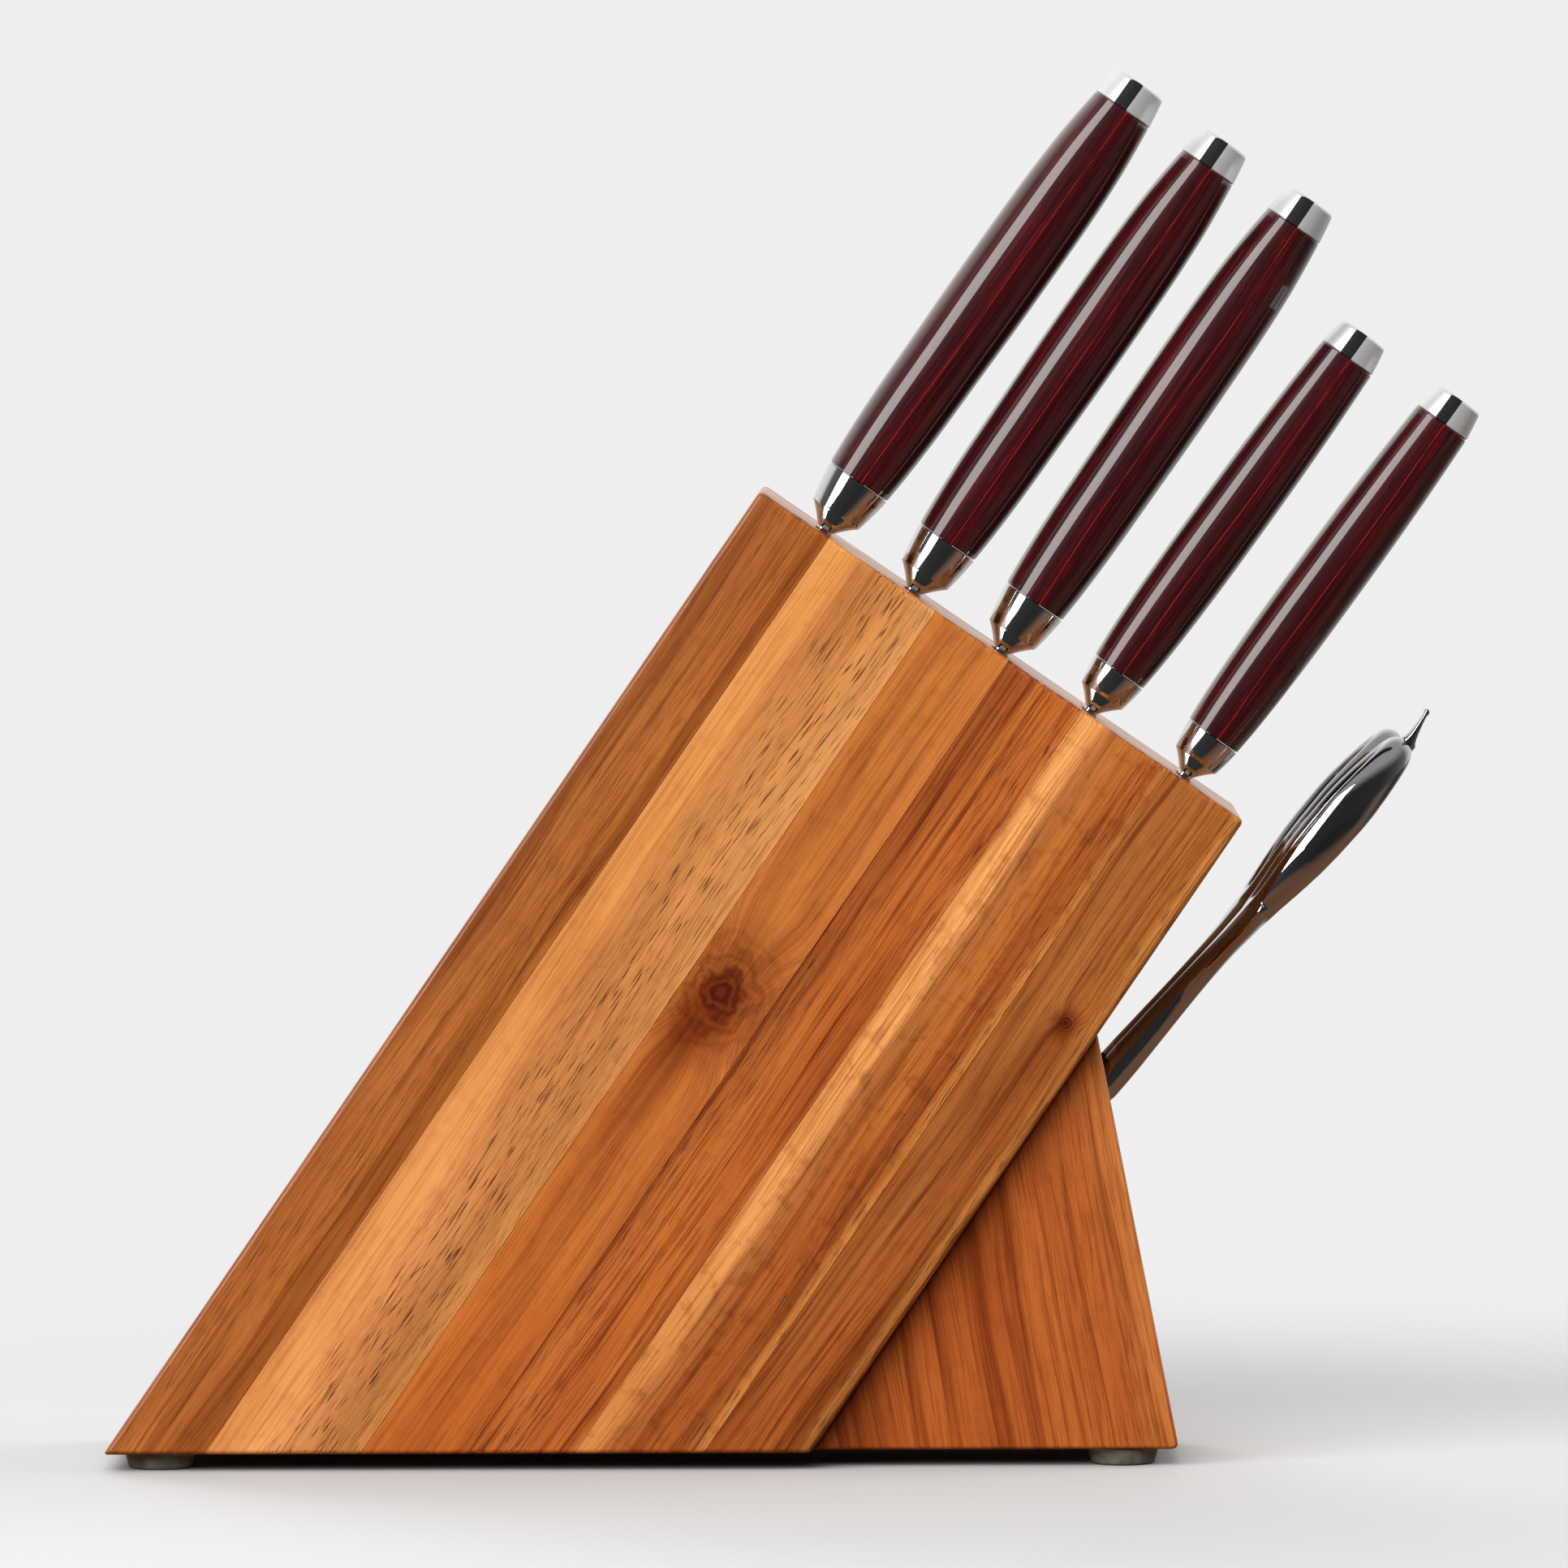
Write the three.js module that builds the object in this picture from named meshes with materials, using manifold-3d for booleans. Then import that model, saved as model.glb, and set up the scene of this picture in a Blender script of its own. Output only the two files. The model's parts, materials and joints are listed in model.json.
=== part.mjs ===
// A leaning wooden knife block with five knives and a pair of kitchen shears.
// Millimetres, +Z up. +X runs along the block towards its wedge, and the front panel faces -Y.
// The finished group has its origin at the centre of its footprint, on the surface it stands on.
import * as THREE from 'three';
import { mergeVertices } from 'three/addons/utils/BufferGeometryUtils.js';
import Module from 'manifold-3d';

const wasm = await Module();
wasm.setup();

// Gaps
const GLUE_LINE = 0.1;
const CLEARANCE = 0.3;
const CUT_PAST = 5;               // how far a cutter runs past what it cuts

// The block: a slab whose long sides lean back, cut level at the bottom
const BLOCK_ANGLE = THREE.MathUtils.degToRad(55.5);
const BLOCK_LENGTH = 284;         // the front long side
const BLOCK_WIDTH = 142;          // across the long sides
const BLOCK_THICKNESS = 80;
const PANEL_THICKNESS = 14;
const STAVE_EDGES = [0, 0.142, 0.363, 0.514, 0.665, 0.848, 1];   // shares of the width
const SLOT_WIDTH = 4;
const SLOT_MARGIN = 2;            // slot beyond the blade's edge

// The wedge behind it
const WEDGE_REACH = 123.3;        // up the block's rear face
const WEDGE_FOOT = 262;           // its rear foot, from the block's front bottom edge
const WEDGE_THICKNESS = 64;
const CHEEK_THICKNESS = 7;
const FOOT_ROUNDING = 2;

// Rubber feet
const FOOT_HEIGHT = 4.2;
const FOOT_TOP_RADIUS = 8.75;
const FOOT_BOTTOM_RADIUS = 7.9;
const FOOT_EDGE = 0.5;
const FOOT_PLACES = [
  { name: 'foot_front_left', x: 13.3, y: -26.5 },
  { name: 'foot_back_left', x: 13.3, y: 26.5 },
  { name: 'foot_front_right', x: 248.4, y: -21.5 },
  { name: 'foot_back_right', x: 248.4, y: 21.5 },
];

// Handles. Widths are the grip's, as [height above the block's top, width].
const LARGE_HANDLE = {
  length: 134, capHeight: 8, bolsterHeight: 15, kinkHeight: 5.3,
  neckWidth: 4.7, kinkWidth: 13.8, capWidth: 15.8, buttWidth: 13.8,
  gripWidths: [[15, 17.1], [23.5, 18.3], [35.4, 19.2], [51.2, 19.6], [67.1, 20], [82.9, 20],
    [98.8, 19.7], [110.6, 18.8], [118.6, 17.5], [126, 15.9]],
  neckDepth: 21, boltDepth: 25, gripDepth: 27, capDepth: 26, centre: -13,
  tangWidth: 10, tangHeight: 108, inlayWidth: 3.4, inlayOffset: -1,
};
const SMALL_HANDLE = {
  length: 114.5, capHeight: 7.6, bolsterHeight: 12.5, kinkHeight: 5.3,
  neckWidth: 3.9, kinkWidth: 12.3, capWidth: 14.7, buttWidth: 12.8,
  gripWidths: [[12.5, 14.5], [20, 15.6], [31, 16.5], [45, 17], [58, 17], [72, 16.8],
    [86, 16.3], [97, 15.6], [106.9, 14.8]],
  neckDepth: 16, boltDepth: 20, gripDepth: 21.5, capDepth: 20.5, centre: -15.4,
  tangWidth: 8, tangHeight: 92, inlayWidth: 3, inlayOffset: -0.9,
};
const SECTION_SIDES = 24;
const SECTION_POWER = 2.5;        // 2 is an ellipse, more is squarer
const INLAY_DEPTH = 1.6;
const BUTT_ROUNDING = 1;

// Knives, from the block's front long side to its rear one. across is the slot's place along the top,
// lean is how far it leans towards the rear, in degrees from the long sides.
const SPINE = -25.6;
const EDGE_THINNING = 0.88;       // share of the thickness that the taper to the edge takes away
const KNIVES = [
  { name: 'chef_knife', across: 18.3, lean: 1.05, handle: LARGE_HANDLE, gripScale: 1,
    bladeLength: 203, bladeWidth: 48, bladeThickness: 2.5, belly: 0.55, tipDrop: 7 },
  { name: 'bread_knife', across: 44.6, lean: 0.5, handle: LARGE_HANDLE, gripScale: 0.955,
    bladeLength: 225, bladeWidth: 32, bladeThickness: 2.3, belly: 0.1, tipDrop: 14 },
  { name: 'carving_knife', across: 70.5, lean: 0.25, handle: LARGE_HANDLE, gripScale: 0.97,
    bladeLength: 203, bladeWidth: 29, bladeThickness: 2.2, belly: 0.3, tipDrop: 5 },
  { name: 'utility_knife', across: 96.9, lean: 1.67, handle: SMALL_HANDLE, gripScale: 1,
    bladeLength: 130, bladeWidth: 25, bladeThickness: 1.9, belly: 0.35, tipDrop: 5 },
  { name: 'paring_knife', across: 124.7, lean: 1.8, handle: SMALL_HANDLE, gripScale: 1,
    bladeLength: 88, bladeWidth: 20, bladeThickness: 1.7, belly: 0.4, tipDrop: 4 },
];

// Shears, in their own frame: +Z from the pivot to the handles, Y across the loops, X through the blades
const SHEARS_ANGLE = THREE.MathUtils.degToRad(48.95);
const SHEARS_MOUTH = { x: 246, z: 90 };   // centre of the pocket's mouth, from the block's bottom edge
const PIVOT_BELOW_MOUTH = 12;
const HANDLE_END = 121.4;
const BLADE_REACH = 76;
const PLATE_INNER = 0.15;
const PLATE_OUTER = 3.1;
const DISC_RADIUS = 12;
const SHANK_START = 6;
const BORE_RADIUS = 3.05;
const SCREW_RADIUS = 2.92;
const THREAD_RADIUS = 2.1;
const HEAD_RADIUS = 4.6;
const HEAD_HEIGHT = 1.1;
const LOOP = { y: 17.9, z: 91.4, halfWidth: 16.9, halfLength: 30, tilt: 0.05, power: 2.3 };
const LOOP_HOLE = { halfWidth: 11, halfLength: 23.5 };
const LOOP_SEGMENTS = 40;
// The shank's outer edge, from the loop in to its waist and out to the pivot, as [y, z]
const SHANK_INNER = 0.6;
const SHANK_CURVE = [[16, LOOP.z - 21], [7.5, LOOP.z - 31], [8.5, 28], [11.4, SHANK_START]];
// Half the handle's thickness, as [distance from its end, half thickness]
const HANDLE_PROFILE = [[0, 2.6], [1.2, 3.4], [8.5, 4.45], [20.4, 5.4], [28, 5.35], [36.3, 5.05], [44.3, 4.3],
  [52, 3.45], [60, 3.15], [68, 2.95], [80, 3.2], [88, 3.5], [96, 3.8], [105, 4.1], [116, 4.1]];
const TAB = { y: 17, width: 8, reach: 9.3, base: 2.6, end: 1.4, baseShift: 0.8, endShift: -0.9 };
const POCKET = { halfWidth: 25, halfThickness: 5.3, depth: 90 };

// Colours and finishes
const WOODS = {
  panel: [0xb9722f, 0xd0924a, 0xb4602b, 0xa9562a, 0xc58a4a, 0xb06a34],
  core: 0xb98a55,
  wedge: 0xa85a28,
  grip: 0x35090d,
};
const steelFinish = (color, roughness) => new THREE.MeshStandardMaterial({ color, roughness, metalness: 1 });
const woodFinish = (color, roughness) => new THREE.MeshStandardMaterial({ color, roughness, metalness: 0 });
const finishes = {
  core: woodFinish(WOODS.core, 0.6),
  wedge: woodFinish(WOODS.wedge, 0.35),
  grip: woodFinish(WOODS.grip, 0.15),
  foot: new THREE.MeshStandardMaterial({ color: 0x8f9285, roughness: 0.3, metalness: 0 }),
  blade: steelFinish(0xc8cacc, 0.3),
  bolster: steelFinish(0xdedfe0, 0.06),
  cap: steelFinish(0xd2d3d4, 0.18),
  inlay: new THREE.MeshStandardMaterial({ color: 0x2d2f30, roughness: 0.4, metalness: 0 }),
  shears: steelFinish(0xd8dadb, 0.05),
};

// Places that follow from the driving dimensions
const coreThickness = BLOCK_THICKNESS - 2 * PANEL_THICKNESS;
const woodBottom = FOOT_HEIGHT + GLUE_LINE;
const blockTopLeft = {
  x: BLOCK_LENGTH * Math.cos(BLOCK_ANGLE),
  z: BLOCK_LENGTH * Math.sin(BLOCK_ANGLE),
};
const blockRearFoot = BLOCK_WIDTH / Math.sin(BLOCK_ANGLE);

function place(parent, name, geometry, material) {
  const mesh = new THREE.Mesh(geometry, material);
  mesh.name = name;
  parent.add(mesh);
  return mesh;
}

function solidOf(geometry) {
  const bare = geometry.clone();
  bare.deleteAttribute('normal');
  bare.deleteAttribute('uv');
  const merged = mergeVertices(bare);
  return new wasm.Manifold(new wasm.Mesh({
    numProp: 3,
    vertProperties: new Float32Array(merged.attributes.position.array),
    triVerts: new Uint32Array(merged.index.array),
  }));
}

function geometryOf(solid) {
  const mesh = solid.getMesh();
  const geometry = new THREE.BufferGeometry();
  geometry.setAttribute('position', new THREE.BufferAttribute(new Float32Array(mesh.vertProperties), 3));
  geometry.setIndex(new THREE.BufferAttribute(new Uint32Array(mesh.triVerts), 1));
  return geometry;
}

// An outline drawn in X and Z, made a board that reaches from one Y to the other
function board(shape, fromY, toY) {
  const geometry = new THREE.ExtrudeGeometry(shape, { depth: toY - fromY, bevelEnabled: false });
  geometry.rotateX(Math.PI / 2);
  geometry.translate(0, toY, 0);
  return geometry;
}

// An outline drawn in Y and Z, made a plate that reaches from one X to the other
function plate(shape, fromX, toX) {
  const geometry = new THREE.ExtrudeGeometry(shape, { depth: toX - fromX, bevelEnabled: false, curveSegments: 12 });
  const turn = new THREE.Matrix4().makeBasis(
    new THREE.Vector3(0, 1, 0), new THREE.Vector3(0, 0, 1), new THREE.Vector3(1, 0, 0));
  geometry.applyMatrix4(turn);
  geometry.translate(fromX, 0, 0);
  return geometry;
}

function boxBetween(low, high) {
  const geometry = new THREE.BoxGeometry(high[0] - low[0], high[1] - low[1], high[2] - low[2]);
  geometry.translate((low[0] + high[0]) / 2, (low[1] + high[1]) / 2, (low[2] + high[2]) / 2);
  return geometry;
}

// A round bar along X
function barAlongX(radius, fromX, toX) {
  const geometry = new THREE.CylinderGeometry(radius, radius, toX - fromX, 28);
  geometry.rotateZ(Math.PI / 2);
  geometry.translate((fromX + toX) / 2, 0, 0);
  return geometry;
}

function squircle(angle, power) {
  const bend = (value) => Math.sign(value) * Math.abs(value) ** (2 / power);
  return [bend(Math.cos(angle)), bend(Math.sin(angle))];
}

// A closed solid through rounded sections stacked along Z, each as { z, width, depth }
function loft(sections, centreY) {
  const points = [];
  const faces = [];
  for (const section of sections) {
    for (let side = 0; side < SECTION_SIDES; side += 1) {
      const [x, y] = squircle(2 * Math.PI * side / SECTION_SIDES, SECTION_POWER);
      points.push(x * section.width / 2, centreY + y * section.depth / 2, section.z);
    }
  }
  const bottomCentre = points.length / 3;
  points.push(0, centreY, sections[0].z);
  points.push(0, centreY, sections[sections.length - 1].z);
  const topRing = (sections.length - 1) * SECTION_SIDES;
  for (let side = 0; side < SECTION_SIDES; side += 1) {
    const next = (side + 1) % SECTION_SIDES;
    for (let ring = 0; ring < topRing; ring += SECTION_SIDES) {
      const above = ring + SECTION_SIDES;
      faces.push(ring + side, ring + next, above + next);
      faces.push(ring + side, above + next, above + side);
    }
    faces.push(bottomCentre, next, side);
    faces.push(bottomCentre + 1, topRing + side, topRing + next);
  }
  const geometry = new THREE.BufferGeometry();
  geometry.setAttribute('position', new THREE.Float32BufferAttribute(points, 3));
  geometry.setIndex(faces);
  return geometry;
}

// In the block's own frame X runs across the long sides, and Z up them from 0 at the top.
// An edge is a line up the block: its place at the top, and how far it moves across for each millimetre up.
const straightEdge = (across) => ({ across, slope: 0 });

function edgePoint(edge, z) {
  return new THREE.Vector2(edge.across + edge.slope * z, z);
}

// Where an edge meets the level cut at the bottom
function edgeFoot(edge) {
  const drop = blockTopLeft.z - edge.across * Math.cos(BLOCK_ANGLE);
  return edgePoint(edge, -drop / (Math.sin(BLOCK_ANGLE) - edge.slope * Math.cos(BLOCK_ANGLE)));
}

function boardOutline(left, right) {
  return new THREE.Shape([edgePoint(left, 0), edgeFoot(left), edgeFoot(right), edgePoint(right, 0)]);
}

function shifted(edge, distance) {
  return { across: edge.across + distance, slope: edge.slope };
}

function addPanel(parent, side, fromY, toY) {
  for (let index = 0; index + 1 < STAVE_EDGES.length; index += 1) {
    const isFirst = index === 0;
    const isLast = index + 2 === STAVE_EDGES.length;
    const left = straightEdge(STAVE_EDGES[index] * BLOCK_WIDTH + (isFirst ? 0 : GLUE_LINE / 2));
    const right = straightEdge(STAVE_EDGES[index + 1] * BLOCK_WIDTH - (isLast ? 0 : GLUE_LINE / 2));
    const finish = woodFinish(WOODS.panel[index], 0.35);
    place(parent, `${side}_stave_${index + 1}`, board(boardOutline(left, right), fromY, toY), finish);
  }
}

// The right-hand side of a knife's slot, where two core slats meet
function slotSide(knife) {
  const slope = Math.tan(THREE.MathUtils.degToRad(knife.lean));
  return { across: knife.across + SLOT_WIDTH / 2, slope };
}

// Slats with a slot between each two, closed behind the blade by a strip. The last slat has the end of the
// shears' pocket.
function addCore(parent, pocket) {
  const front = -coreThickness / 2 + GLUE_LINE / 2;
  const back = coreThickness / 2 - GLUE_LINE / 2;
  let left = straightEdge(0);
  KNIVES.forEach((knife, index) => {
    const side = slotSide(knife);
    const slat = boardOutline(left, shifted(side, -SLOT_WIDTH));
    place(parent, `core_slat_${index + 1}`, board(slat, front, back), finishes.core);
    const strip = boardOutline(shifted(side, GLUE_LINE - SLOT_WIDTH), shifted(side, -GLUE_LINE / 2));
    const slotBack = SPINE + knife.bladeWidth + SLOT_MARGIN;
    place(parent, `core_strip_${index + 1}`, board(strip, slotBack, back), finishes.core);
    left = shifted(side, GLUE_LINE / 2);
  });
  const lastSlat = solidOf(board(boardOutline(left, straightEdge(BLOCK_WIDTH)), front, back));
  const cut = lastSlat.subtract(solidOf(pocket));
  place(parent, `core_slat_${KNIVES.length + 1}`, geometryOf(cut), finishes.core);
}

function wedgeOutline() {
  const gap = GLUE_LINE / Math.sin(BLOCK_ANGLE);
  const top = {
    x: blockRearFoot + gap + WEDGE_REACH * Math.cos(BLOCK_ANGLE),
    z: WEDGE_REACH * Math.sin(BLOCK_ANGLE),
  };
  const rearSlope = (top.x - WEDGE_FOOT) / top.z;
  const outline = new THREE.Shape();
  outline.moveTo(blockRearFoot + gap, 0);
  outline.lineTo(WEDGE_FOOT - FOOT_ROUNDING, 0);
  outline.quadraticCurveTo(WEDGE_FOOT, 0, WEDGE_FOOT + rearSlope * FOOT_ROUNDING, FOOT_ROUNDING);
  outline.lineTo(top.x, top.z);
  outline.closePath();
  return outline;
}

// A box in the shears' frame, turned and moved to the pocket
function alongPocket(low, high) {
  const geometry = boxBetween(low, high);
  geometry.rotateY(Math.PI / 2 - SHEARS_ANGLE);
  geometry.translate(SHEARS_MOUTH.x, 0, SHEARS_MOUTH.z);
  return geometry;
}

function addWedge(parent) {
  const outline = wedgeOutline();
  const faceY = WEDGE_THICKNESS / 2;
  const coreY = faceY - CHEEK_THICKNESS;
  const { halfThickness, depth } = POCKET;
  place(parent, 'wedge_front_cheek', board(outline, -faceY, -coreY - GLUE_LINE / 2), finishes.wedge);
  place(parent, 'wedge_back_cheek', board(outline, coreY + GLUE_LINE / 2, faceY), finishes.wedge);

  const core = solidOf(board(outline, -coreY + GLUE_LINE / 2, coreY - GLUE_LINE / 2));
  const wide = coreY + CUT_PAST;
  const pocketAndAbove = alongPocket([-depth, -wide, -depth], [halfThickness, wide, depth]);
  const above = alongPocket([-depth, -wide, -depth], [-halfThickness, wide, depth]);
  place(parent, 'wedge_core_lower', geometryOf(core.subtract(solidOf(pocketAndAbove))), finishes.wedge);
  place(parent, 'wedge_core_upper', geometryOf(core.intersect(solidOf(above))), finishes.wedge);
}

function addFeet(parent) {
  const profile = [
    new THREE.Vector2(0, 0),
    new THREE.Vector2(FOOT_BOTTOM_RADIUS - FOOT_EDGE, 0),
    new THREE.Vector2(FOOT_BOTTOM_RADIUS, FOOT_EDGE),
    new THREE.Vector2(FOOT_TOP_RADIUS, FOOT_HEIGHT),
    new THREE.Vector2(0, FOOT_HEIGHT),
  ];
  for (const foot of FOOT_PLACES) {
    const geometry = new THREE.LatheGeometry(profile, 28);
    geometry.rotateX(Math.PI / 2);
    place(parent, foot.name, geometry, finishes.foot).position.set(foot.x, foot.y, 0);
  }
}

// The blade's outline in Y and Z with its tang: spine, tip, belly, heel and the hollow up to the bolster
function bladeOutline(knife) {
  const { handle, bladeLength, bladeWidth, belly, tipDrop } = knife;
  const shoulder = -CLEARANCE;
  const edge = SPINE + bladeWidth;
  const heelDrop = bladeWidth / 6;
  const bolsterEdge = handle.centre + handle.neckDepth / 2;
  const tangFront = handle.centre - handle.tangWidth / 2;
  const tangBack = handle.centre + handle.tangWidth / 2;
  const tipY = SPINE + tipDrop;
  const outline = new THREE.Shape();
  outline.moveTo(tangFront, handle.tangHeight);
  outline.lineTo(tangFront, shoulder);
  outline.lineTo(SPINE, shoulder);
  outline.lineTo(SPINE, -bladeLength * (1 - 2 * tipDrop / bladeLength));
  outline.quadraticCurveTo(SPINE, -bladeLength + tipDrop / 2, tipY, -bladeLength);
  outline.bezierCurveTo(
    edge, -bladeLength * (1 - belly / 3), edge, -bladeLength * (1 - belly), edge, -bladeLength * (1 - belly));
  outline.lineTo(edge, -heelDrop);
  outline.quadraticCurveTo(bolsterEdge + 1, -heelDrop, bolsterEdge, shoulder);
  outline.lineTo(tangBack, shoulder);
  outline.lineTo(tangBack, handle.tangHeight);
  outline.closePath();
  return outline;
}

function bladeGeometry(knife) {
  const half = knife.bladeThickness / 2;
  const geometry = plate(bladeOutline(knife), -half, half);
  const positions = geometry.attributes.position;
  for (let index = 0; index < positions.count; index += 1) {
    if (positions.getZ(index) > -CLEARANCE - 1e-3) {
      continue;
    }
    const share = (positions.getY(index) - SPINE) / knife.bladeWidth;
    positions.setX(index, positions.getX(index) * (1 - EDGE_THINNING * share));
  }
  return geometry;
}

function tangHole(knife, fromZ, toZ) {
  const { handle, bladeThickness } = knife;
  const halfX = bladeThickness / 2 + CLEARANCE;
  const halfY = handle.tangWidth / 2 + CLEARANCE;
  return solidOf(boxBetween([-halfX, handle.centre - halfY, fromZ], [halfX, handle.centre + halfY, toZ]));
}

function bolsterGeometry(knife) {
  const { handle, gripScale } = knife;
  const neckTop = handle.kinkHeight - (handle.kinkWidth - handle.neckWidth) / 2;
  const sections = [
    { z: CLEARANCE, width: handle.neckWidth, depth: handle.neckDepth },
    { z: neckTop, width: handle.neckWidth, depth: handle.neckDepth },
    { z: handle.kinkHeight, width: handle.kinkWidth, depth: (handle.neckDepth + handle.boltDepth) / 2 },
    {
      z: handle.bolsterHeight - GLUE_LINE,
      width: handle.gripWidths[0][1] * gripScale,
      depth: handle.boltDepth,
    },
  ];
  const body = solidOf(loft(sections, handle.centre));
  return geometryOf(body.subtract(tangHole(knife, -CUT_PAST, handle.length)));
}

function gripGeometry(knife) {
  const { handle, gripScale } = knife;
  const [foot] = handle.gripWidths;
  const head = handle.gripWidths[handle.gripWidths.length - 1];
  const sections = handle.gripWidths.map(([z, width]) => {
    const along = (z - foot[0]) / (head[0] - foot[0]);
    const ends = THREE.MathUtils.lerp(handle.boltDepth, handle.capDepth, along);
    const swell = (handle.gripDepth - handle.capDepth + 1) * Math.sin(Math.PI * along);
    return { z, width: width * gripScale, depth: ends + swell };
  });
  const body = solidOf(loft(sections, handle.centre));
  return geometryOf(body.subtract(tangHole(knife, 0, handle.tangHeight + CLEARANCE)));
}

function capLoft(knife) {
  const { handle, gripScale } = knife;
  const width = handle.capWidth * gripScale;
  const buttWidth = handle.buttWidth * gripScale;
  const buttDepth = handle.capDepth - (handle.capWidth - handle.buttWidth);
  return solidOf(loft([
    { z: handle.length - handle.capHeight + GLUE_LINE, width, depth: handle.capDepth },
    { z: handle.length - BUTT_ROUNDING, width: buttWidth, depth: buttDepth },
    { z: handle.length, width: buttWidth - 2 * BUTT_ROUNDING, depth: buttDepth - 2 * BUTT_ROUNDING },
  ], handle.centre));
}

// The band of the cap's spine side that the inlay fills, wider by extra on each side
function inlayBand(knife, extra) {
  const { handle } = knife;
  const half = handle.inlayWidth / 2 + extra;
  const outside = handle.centre - handle.capDepth;
  const inside = handle.centre - handle.capDepth / 2 + INLAY_DEPTH + extra;
  return solidOf(boxBetween(
    [handle.inlayOffset - half, outside, 0], [handle.inlayOffset + half, inside, handle.length + CUT_PAST]));
}

function addKnife(parent, knife) {
  const group = new THREE.Group();
  group.position.set(knife.across, 0, 0);
  group.rotation.y = THREE.MathUtils.degToRad(knife.lean);
  parent.add(group);
  const cap = capLoft(knife);
  place(group, `${knife.name}_blade`, bladeGeometry(knife), finishes.blade);
  place(group, `${knife.name}_bolster`, bolsterGeometry(knife), finishes.bolster);
  place(group, `${knife.name}_grip`, gripGeometry(knife), finishes.grip);
  place(group, `${knife.name}_cap`, geometryOf(cap.subtract(inlayBand(knife, GLUE_LINE))), finishes.cap);
  place(group, `${knife.name}_cap_inlay`, geometryOf(cap.intersect(inlayBand(knife, 0))), finishes.inlay);
}

function shearsBladeOutline(side) {
  const outline = new THREE.Shape();
  outline.moveTo(-side * DISC_RADIUS * 0.9, -3);
  outline.bezierCurveTo(-side * 12, -22, -side * 9, -52, -side * 1.5, -BLADE_REACH);
  outline.lineTo(side * 0.8, -BLADE_REACH + 1.5);
  outline.lineTo(side * 2.2, -BLADE_REACH + 14);
  outline.lineTo(side * 2.2, -3);
  outline.closePath();
  return outline;
}

function loopRing(centreY, halfWidth, halfLength) {
  const points = [];
  for (let step = 0; step < LOOP_SEGMENTS; step += 1) {
    const [across, along] = squircle(2 * Math.PI * step / LOOP_SEGMENTS, LOOP.power);
    const y = across * halfWidth;
    const z = along * halfLength;
    const tilt = LOOP.tilt * Math.sign(centreY);
    points.push(new THREE.Vector2(centreY + y + z * tilt, LOOP.z + z));
  }
  return points;
}

// The shank from the pivot disc up to the finger loop
function shankOutline(side) {
  const [top, ...bends] = SHANK_CURVE;
  const outline = new THREE.Shape();
  outline.moveTo(side * SHANK_INNER, SHANK_START);
  outline.lineTo(side * SHANK_INNER, top[1]);
  outline.lineTo(side * top[0], top[1]);
  outline.bezierCurveTo(...bends.flatMap(([y, z]) => [side * y, z]));
  outline.closePath();
  return outline;
}

function handleProfile(offset) {
  const outline = new THREE.Shape();
  outline.moveTo(offset - HANDLE_PROFILE[0][1], HANDLE_END);
  for (const [distance, half] of HANDLE_PROFILE.slice(1)) {
    outline.lineTo(offset - half, HANDLE_END - distance);
  }
  for (const [distance, half] of [...HANDLE_PROFILE].reverse()) {
    outline.lineTo(offset + half, HANDLE_END - distance);
  }
  outline.closePath();
  return outline;
}

function tabOutline(offset) {
  const base = offset + TAB.baseShift;
  const end = offset + TAB.endShift;
  return new THREE.Shape([
    new THREE.Vector2(base - TAB.base / 2, HANDLE_END - CUT_PAST),
    new THREE.Vector2(base + TAB.base / 2, HANDLE_END - CUT_PAST),
    new THREE.Vector2(base + TAB.base / 2, HANDLE_END),
    new THREE.Vector2(end + TAB.end / 2, HANDLE_END + TAB.reach),
    new THREE.Vector2(end - TAB.end / 2, HANDLE_END + TAB.reach),
    new THREE.Vector2(base - TAB.base / 2, HANDLE_END),
  ]);
}

// One half. side is the Y side of its loop, and facing the X side of its blade.
function shearsHalf(side, facing, handleOffset, hasTab) {
  const thickest = PLATE_OUTER * 2;
  const loop = new THREE.Shape(loopRing(side * LOOP.y, LOOP.halfWidth, LOOP.halfLength));
  const hole = new THREE.Shape(loopRing(side * LOOP.y, LOOP_HOLE.halfWidth, LOOP_HOLE.halfLength));
  let handle = solidOf(plate(loop, -thickest, thickest));
  handle = handle.add(solidOf(plate(shankOutline(side), -thickest, thickest)));
  handle = handle.subtract(solidOf(plate(hole, -thickest, thickest)));
  handle = handle.intersect(solidOf(board(handleProfile(handleOffset), -BLOCK_THICKNESS, BLOCK_THICKNESS)));
  const innerX = facing * PLATE_INNER;
  const farX = -facing * thickest;
  const turningRoom = barAlongX(DISC_RADIUS + CLEARANCE, Math.min(innerX, farX), Math.max(innerX, farX));
  handle = handle.subtract(solidOf(turningRoom));

  const low = Math.min(facing * PLATE_INNER, facing * PLATE_OUTER);
  const high = Math.max(facing * PLATE_INNER, facing * PLATE_OUTER);
  const outside = Math.min(facing * PLATE_OUTER, facing * thickest);
  const headRoom = barAlongX(DISC_RADIUS - 2, outside, outside + thickest - PLATE_OUTER);
  let half = handle.subtract(solidOf(headRoom));
  half = half.add(solidOf(barAlongX(DISC_RADIUS, low, high)));
  half = half.add(solidOf(plate(shearsBladeOutline(side), low, high)));
  if (hasTab) {
    const tab = board(tabOutline(handleOffset), side * TAB.y - TAB.width / 2, side * TAB.y + TAB.width / 2);
    half = half.add(solidOf(tab));
  }
  return geometryOf(half.subtract(solidOf(barAlongX(BORE_RADIUS, -thickest, thickest))));
}

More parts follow.
